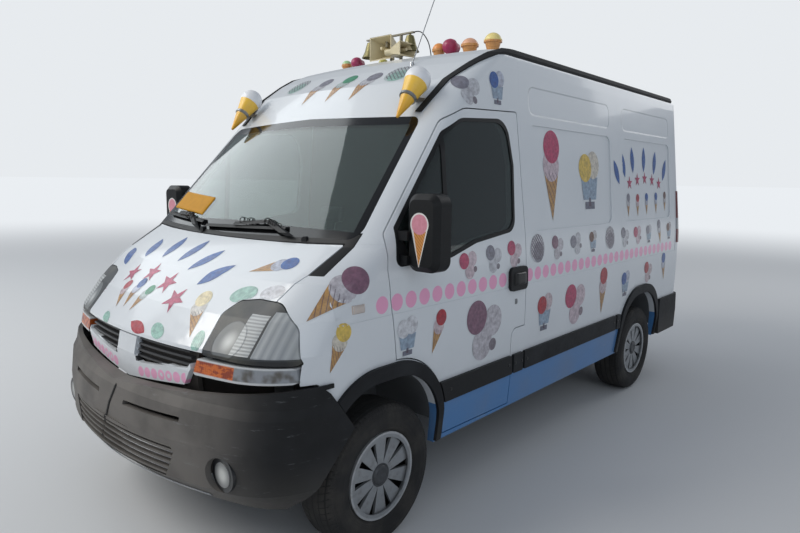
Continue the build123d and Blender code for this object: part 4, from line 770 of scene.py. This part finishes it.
def crowned(tree, start, aim, across_way, up_way, half, rise, power=4.0, cells=14):
    """A pad on a surface: each point (a, b) of a grid is cast on the tree and lifted along the normal there.

    The lift is rise * (1 - |a|^p)^(1/2) (1 - |b|^p)^(1/2). The grid reaches over half[0] by half[1] on each
    side of the start point, and its rim sinks into the surface.
    """
    a, b = [axis.ravel() for axis in np.meshgrid(*[np.sin(np.linspace(-1, 1, cells) * math.pi / 2)] * 2)]
    lift = rise * np.sqrt(np.clip((1 - np.abs(a) ** power) * (1 - np.abs(b) ** power), 0, 1))
    points = []
    for pa, pb, high in zip(a * half[0], b * half[1], lift):
        spot = start + across_way * pa + up_way * pb
        place, normal, _, _ = tree.ray_cast(spot, aim)
        if place is None:
            place, normal = tree.find_nearest(spot + aim)[:2]
        normal = normal if normal.dot(aim) < 0 else -normal
        points.append(tuple(place + normal * (high - (RIM_SINK if high < 1e-6 else 0))))
    return points, grid_faces(cells, cells)


def fitting(name, tree, side, u, v, half, rise, finish, body, slot, power=4.0):
    """A pad u behind the front axle on the left (1) or right (-1), or u off the middle behind (0)."""
    start = Vector((1.6 * side, AXLE_Y + u, v)) if side else Vector((u, 3.2, v))
    aim = LEFT * -side if side else -BACK
    pad = crowned(tree, start, aim, BACK if side else LEFT, UP, half, rise, power)
    make(name, pad, finish, body, outward=side >= 0)


RIM_SINK = 0.0015
repeater = Finish("repeater_lens", Roughness=0.12, Coat_Weight=1.0, Coat_Roughness=0.03)
flutes = zigzag(repeater.at[1] * 160)
repeater.look(Base_Color=flutes.mix("b9bcbd", "d8a070"))
repeater.bump(flutes, 0.001, 0.4)
worn_steel = mottled("lock_steel", 300, "6f7173", "9a9c9e", Metallic=0.85, Roughness=0.35)
paddle_black = mottled("paddle_plastic", 50, "08090a", "131416", (1400, 2, 0.0002, 0.3), Roughness=0.32)
plate_blank = mottled("blank_plate", 25, "c98f14", "ad7a10", (60, 3, 0.0005, 0.3), Roughness=0.6,
                      Specular_IOR_Level=0.2)

RUB_SCREWS, DOOR_SCREWS, SCREW_Z = (1.098, 1.172, 1.235, 2.53, 2.60, 2.632), (0.47, 1.03), 0.652
SCREW = ((0.008, 0.008), 0.004, paddle_black)
strip_tree = caster("side_mouldings")
for side, word in SIDES:
    door = f"front_door_{word}"
    door_tree = caster(door, f"door_trim_{word}")
    fitting(f"repeater_{word}", caster(f"wing_{word}"), side, -0.179, 1.163, (0.036, 0.019), 0.010, repeater,
            "van", "lamp_lens")
    fitting(f"door_lock_{word}", door_tree, side, 1.095, 1.02, (0.013, 0.016), 0.007, worn_steel, door,
            "aerial_steel", 2.0)
    fitting(f"door_paddle_{word}", door_tree, side, 1.108, 1.155, (0.058, 0.036), 0.014, paddle_black, door,
            "black_plastic", 6.0)
    for i, u in enumerate(RUB_SCREWS):
        fitting(f"strip_screw_{word}_{i}", strip_tree, side, u, SCREW_Z, *SCREW, "van", "bumper_plastic", 2.0)
    for i, u in enumerate(DOOR_SCREWS):
        fitting(f"door_screw_{word}_{i}", door_tree, side, u, SCREW_Z, *SCREW, door, "black_plastic", 2.0)

rear_tree = caster("rear_door_left", "rear_door_right")
for name, u, v, half, rise, finish, word, slot, power in (
        ("rear_plate", -0.40, 1.02, (0.26, 0.055), 0.008, plate_blank, "right", "body_paint", 20.0),
        ("rear_catch", -0.075, 1.18, (0.05, 0.045), 0.016, paddle_black, "right", "black_plastic", 6.0),
        ("rear_lock", -0.075, 1.10, (0.012, 0.012), 0.006, worn_steel, "right", "aerial_steel", 2.0),
        ("rear_plate_lamp", -0.40, 1.105, (0.12, 0.018), 0.022, paddle_black, "right", "black_plastic", 6.0),
        ("rear_seam_cover", 0.012, 1.40, (0.020, 0.90), 0.006, seam_rubber, "left", "black_rubber", 20.0)):
    fitting(name, rear_tree, 0, u, v, half, rise, finish, f"rear_door_{word}", slot, power)


# Wheel centre caps: moulded grey plastic domes with a raised ring and a dished middle, snapped in the covers.
def lathe(profile, sides, place, outward_x):
    """A form turned about an axis along x: rows of (distance outwards, radius), swept round in sides."""
    turn = np.arange(sides) * 2 * math.pi / sides
    out, radius = np.array(profile).T
    ring = np.stack([np.repeat(out * outward_x, sides), np.outer(radius, np.cos(turn)).ravel(),
                     np.outer(radius, np.sin(turn)).ravel()], 1)
    return ring + np.array(place), grid_faces(len(profile), sides, closed=True)


cap_grey = mottled("cap_plastic", 60, "3a3b3d", "55575a", Roughness=0.4, Metallic=0.4)
CAP = ((0.078, 0.056), (0.0885, 0.056), (0.0900, 0.0545), (0.0900, 0.050), (0.0880, 0.0475), (0.0885, 0.046),
       (0.0935, 0.0445), (0.0965, 0.040), (0.0970, 0.034), (0.0955, 0.030), (0.0940, 0.018), (0.0938, 0.0008))
for word in ("front_left", "front_right", "rear_left", "rear_right"):
    side = 1 if "left" in word else -1
    y0, middle = (AXLE_Y, FRONT_MIDDLE) if "front" in word else (AXLE_Y + WHEELBASE, FRONT_MIDDLE - REAR_STEP)
    cap = lathe(CAP, 40, (side * middle, y0, WHEEL_R), side)
    make(f"wheel_cap_{word}", cap, cap_grey, f"wheel_{word}")


# Bumper: a bent bright strip hangs along the lower lip, and a black strap ties the bumper up at the front.
# Both are thin flat bands that follow the moulding's face.
def ribbon_along(tree, route, width, thick, drop=0.0):
    """A closed flat strip over points (x, z) cast from the front; drop lowers the far end in a sag.

    Its section is six points, each a share of half the width and a height off the face. The sag grows with
    the square of the share of the way along.
    """
    section = ((1, 0.001), (1, thick), (0.8, thick + 0.001), (-0.8, thick + 0.001), (-1, thick), (-1, 0.001))
    end = len(route) - 1
    points = []
    for i, (px, pz) in enumerate(route):
        place, normal, _, _ = tree.ray_cast(Vector((px, -3.2, pz)), BACK)
        if place is None:
            place, normal = tree.find_nearest(Vector((px, -2.4, pz)))[:2]
        normal = normal if normal.y < 0 else -normal
        (next_x, next_z), (last_x, last_z) = route[min(i + 1, end)], route[max(i - 1, 0)]
        run = Vector((next_x - last_x, 0, next_z - last_z)).normalized()
        wide = normal.cross(run).normalized() * width / 2
        place = place - UP * (drop * (i / end) ** 2)
        points += [tuple(place + wide * part + normal * high) for part, high in section]
    faces = [tuple(face) for face in grid_faces(len(route), 6, closed=True)]
    return points, faces + [tuple(range(6)), tuple(range(6 * end, 6 * end + 6))]


bumper_tree = caster("front_bumper")
lip_metal = mottled("lip_strip", 20, "8f9294", "c2c4c6", (12, 3, 0.004, 0.5), 5, Metallic=0.7, Roughness=0.4)
lip_route = [(0.60 - 1.40 * t, 0.378) for t in np.linspace(0, 1, 48)]
lip_strip = ribbon_along(bumper_tree, lip_route, 0.020, 0.004, drop=0.050)
make("bumper_lip_strip", lip_strip, lip_metal, "van")
strap_web = Finish("strap_web", Roughness=0.8)
threads = zigzag(strap_web.at[2] * 300)
strap_web.look(Base_Color=threads.mix("0b0b0c", "1d1d1f"))
strap_web.bump(threads, 0.0006, 0.5)
strap_route = [(0.050 - 0.155 * t, 0.765 - 0.30 * t) for t in np.linspace(0, 1, 40)]
make("bumper_strap", ribbon_along(bumper_tree, strap_route, 0.014, 0.002), strap_web, "van")


# Windscreen foot: a blank yellow plate tucked behind the wiper, and black tie wire wound round both arms.
# The door mirrors' silvered glasses are set in their housings.
tilt = math.radians(3)
plate_across = Vector((math.cos(tilt), 0, -math.sin(tilt)))
plate_up = Vector((math.sin(tilt), 0, math.cos(tilt)))
screen_plate = crowned(caster("windscreen"), Vector((-0.585, -4.0, 1.555)), BACK, plate_across, plate_up,
                       (0.22, 0.048), 0.008, 24.0, cells=20)
make("screen_plate", screen_plate, plate_blank, "van")


def tube_points(path, radius, sides=8):
    """Rings round a line of points; each ring stands square to the run through its point."""
    path = np.asarray(path, float)
    run = np.gradient(path, axis=0)
    run /= np.linalg.norm(run, axis=1)[:, None]
    across_run = np.cross(run, (0.31, 0.52, 0.80))
    across_run /= np.linalg.norm(across_run, axis=1)[:, None]
    up_run = np.cross(run, across_run)
    turn = np.arange(sides) * 2 * math.pi / sides
    turn_across, turn_up = np.cos(turn)[None, :, None], np.sin(turn)[None, :, None]
    ring = path[:, None] + radius * (across_run[:, None] * turn_across + up_run[:, None] * turn_up)
    last = sides * (len(path) - 1)
    faces = [tuple(face) for face in grid_faces(len(path), sides, closed=True)]
    return ring.reshape(-1, 3), faces + [tuple(range(sides)), tuple(range(last, last + sides))]


wire_black = mottled("tie_wire", 200, "0a0a0b", "1c1c1d", Roughness=0.5)
wiper_tree = caster("wipers")
COIL_R = 0.015


def wire_tie(name, x0, x1, z0, z1, turns, seed):
    """A rough winding of wire round a wiper arm, between two points in x and z."""
    chance = np.random.default_rng(seed)
    steps = turns * 14
    share = np.linspace(0, 1, steps)
    rough = 1 + 0.45 * np.interp(share, np.linspace(0, 1, turns * 2), chance.uniform(-1, 1, turns * 2))
    angle = share * turns * 2 * math.pi
    path = []
    for t, k, a in zip(share, rough, angle):
        base = wiper_tree.find_nearest(Vector((x0 + (x1 - x0) * t, -1.73, z0 + (z1 - z0) * t)))[0]
        path.append((base.x + 0.004 * math.sin(3 * a), base.y - 0.004 + COIL_R * k * math.cos(a),
                     base.z + 0.002 + COIL_R * k * math.sin(a)))
    make(name, tube_points(path, 0.0022), wire_black, "van")


wire_tie("wiper_wire_left", 0.27, 0.40, 1.495, 1.475, 7, 3)
wire_tie("wiper_wire_end", 0.09, 0.20, 1.480, 1.490, 5, 5)
wire_tie("wiper_wire_right", -0.46, -0.36, 1.495, 1.46, 6, 8)

glass_silver = mottled("mirror_silver", 3, "b9c2c6", "c9d0d3", Metallic=0.95, Roughness=0.06)
for side, word in SIDES:
    mirror_glass = crowned(caster(f"mirror_{word}"), Vector((side * 1.0875, 3.0, 1.475)), -BACK, LEFT, UP,
                           (0.072, 0.150), 0.003, 8.0)
    make(f"mirror_glass_{word}", mirror_glass, glass_silver, f"front_door_{word}")

# Horn cable: 7 mm black flex from the end of the bar, up in a stiff arch and down into the roof, where it
# goes through the skin.
cable_line = bpy.data.curves.new("horn_lead", "CURVE")
cable_line.dimensions = "3D"
cable_line.bevel_depth, cable_line.bevel_resolution = 0.0035, 3
cable_line.use_fill_caps = True
route = ((0.0924, 2.6625), (0.140, 2.668), (0.196, 2.618), (0.232, 2.548), (0.243, 2.4745))
spline = cable_line.splines.new("NURBS")
spline.points.add(len(route) - 1)
for point, (px, pz) in zip(spline.points, route):
    point.co = (px, AXLE_Y + 1.200, pz, 1.0)
spline.order_u, spline.use_endpoint_u, spline.resolution_u = 3, True, 16
cable_line.materials.append(wire_black.material)
lead = placed("horn_lead", cable_line)
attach(lead, "van")
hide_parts("horn_cable")


# Seats: foam squabs, backs and head rests in woven grey cloth on dark plinths. Each cushion is blown up
# from a smaller rounded block, so its faces crown and its sides pull in.
def block(name, spans, place, corner, segments, profile):
    """The mesh of a box with rounded edges, about a place."""
    shape = bmesh.new()
    bmesh.ops.create_cube(shape, size=1.0)
    bmesh.ops.scale(shape, verts=shape.verts, vec=spans)
    bmesh.ops.bevel(shape, geom=shape.edges, offset=corner, segments=segments, profile=profile,
                    affect="EDGES")
    bmesh.ops.translate(shape, verts=shape.verts, vec=place)
    mesh = bpy.data.meshes.new(name)
    shape.to_mesh(mesh)
    shape.free()
    return mesh


def cushion(name, half, at, lean, swell=0.024):
    """One cushion: a bevelled block, remeshed, blown up as cloth, held within swell, and subdivided once."""
    piece = placed(name, block(name, [2 * (h - 0.012) for h in half], (0, 0, 0), 0.035, 3, 0.6))
    voxels = piece.modifiers.new("voxels", "REMESH")
    voxels.mode, voxels.voxel_size = "VOXEL", 0.015
    graph = bpy.context.evaluated_depsgraph_get()
    solid = bpy.data.meshes.new_from_object(piece.evaluated_get(graph))
    piece.modifiers.clear()
    piece.data = solid
    start = np.array([tuple(v.co) for v in solid.vertices])
    grown_to = start
    cloth = piece.modifiers.new("cloth", "CLOTH")
    cloth.settings.use_pressure = True
    cloth.settings.uniform_pressure_force = 4.0
    cloth.settings.effector_weights.gravity = 0.0
    cloth.settings.quality = 4
    for step in range(1, 21):
        bpy.context.scene.frame_set(step)
    graph = bpy.context.evaluated_depsgraph_get()
    blown = bpy.data.meshes.new_from_object(piece.evaluated_get(graph))
    moved = np.array([tuple(v.co) for v in blown.vertices]) - start
    length = np.linalg.norm(moved, axis=1)[:, None]
    grown_to = start + moved * np.minimum(1.0, swell / np.maximum(length, 1e-9))
    piece.modifiers.clear()
    bpy.context.scene.frame_set(1)
    low, high = grown_to.min(0), grown_to.max(0)
    fit = np.array(half) / np.maximum(np.abs(low), np.abs(high))
    local = grown_to * np.minimum(fit, 1.0)
    c, w = math.cos(lean), math.sin(lean)
    x, y, z = local.T
    placed_at = np.stack([x, y * c - z * w, y * w + z * c], 1) + np.array(at)
    solid.vertices.foreach_set("co", placed_at.ravel())
    solid.polygons.foreach_set("use_smooth", [True] * len(solid.polygons))
    solid.materials.clear()
    solid.materials.append(seat_cloth.material)
    smoother = piece.modifiers.new("smooth", "SUBSURF")
    smoother.levels = smoother.render_levels = 1
    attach(piece, "van")
    return piece


def on_back(px, up):
    """The point of a seat's leaning back that is a length up it from the hinge."""
    return px, BACK_AT[0] - up * math.sin(LEAN), BACK_AT[1] + up * math.cos(LEAN)


seat_cloth = mottled("seat_cloth", 300, "35373d", "4d5058", Roughness=0.95)
x, y, z = seat_cloth.at
seat_cloth.bump(zigzag(z * 420) * zigzag(x * 420) * 4, 0.0008, 0.5).dress("driver_seat", "passenger_bench")
LEAN = math.radians(-12)
BACK_AT = (AXLE_Y + 0.930, 0.920)
SQUAB_Y, SQUAB_Z, PLINTH_Y, PLINTH_Z = AXLE_Y + 0.75, 0.865, AXLE_Y + 0.78, 0.6665
UP_BACK, UP_REST, UP_POST = 0.245, 0.545, np.linspace(0.43, 0.53, 6)
SEATS = (("driver", 0.170, 0.700, 1), ("bench", -0.740, 0.120, 2))
for word, x0, x1, places in SEATS:
    node = "driver_seat" if word == "driver" else "passenger_bench"
    wide = (x1 - x0) / places
    middles = [x0 + wide * (i + 0.5) for i in range(places)]
    for i, middle in enumerate(middles):
        squab = cushion(f"{word}_squab_{i}", (wide / 2 - 0.003, 0.25, 0.065), (middle, SQUAB_Y, SQUAB_Z), 0.0)
        if i == 0:
            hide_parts(node)
        cushion(f"{word}_back_{i}", (wide / 2 - 0.003, 0.058, 0.225), on_back(middle, UP_BACK), LEAN)
        cushion(f"{word}_rest_{i}", (0.13, 0.045, 0.070), on_back(middle, UP_REST), LEAN, 0.015)
    plinth_at = ((x0 + x1) / 2, PLINTH_Y, PLINTH_Z)
    mesh = block(f"{word}_plinth", (x1 - x0 - 0.10, 0.36, 0.27), plinth_at, 0.02, 2, 0)
    mesh.materials.append(black.material)
    plinth = placed(f"{word}_plinth", mesh)
    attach(plinth, "van")
    for n, px in enumerate(middle + dx for middle in middles for dx in (-0.05, 0.05)):
        post = tube_points([on_back(px, up) for up in UP_POST], 0.006, 12)
        make(f"{word}_post_{n}", post, bright, "van")
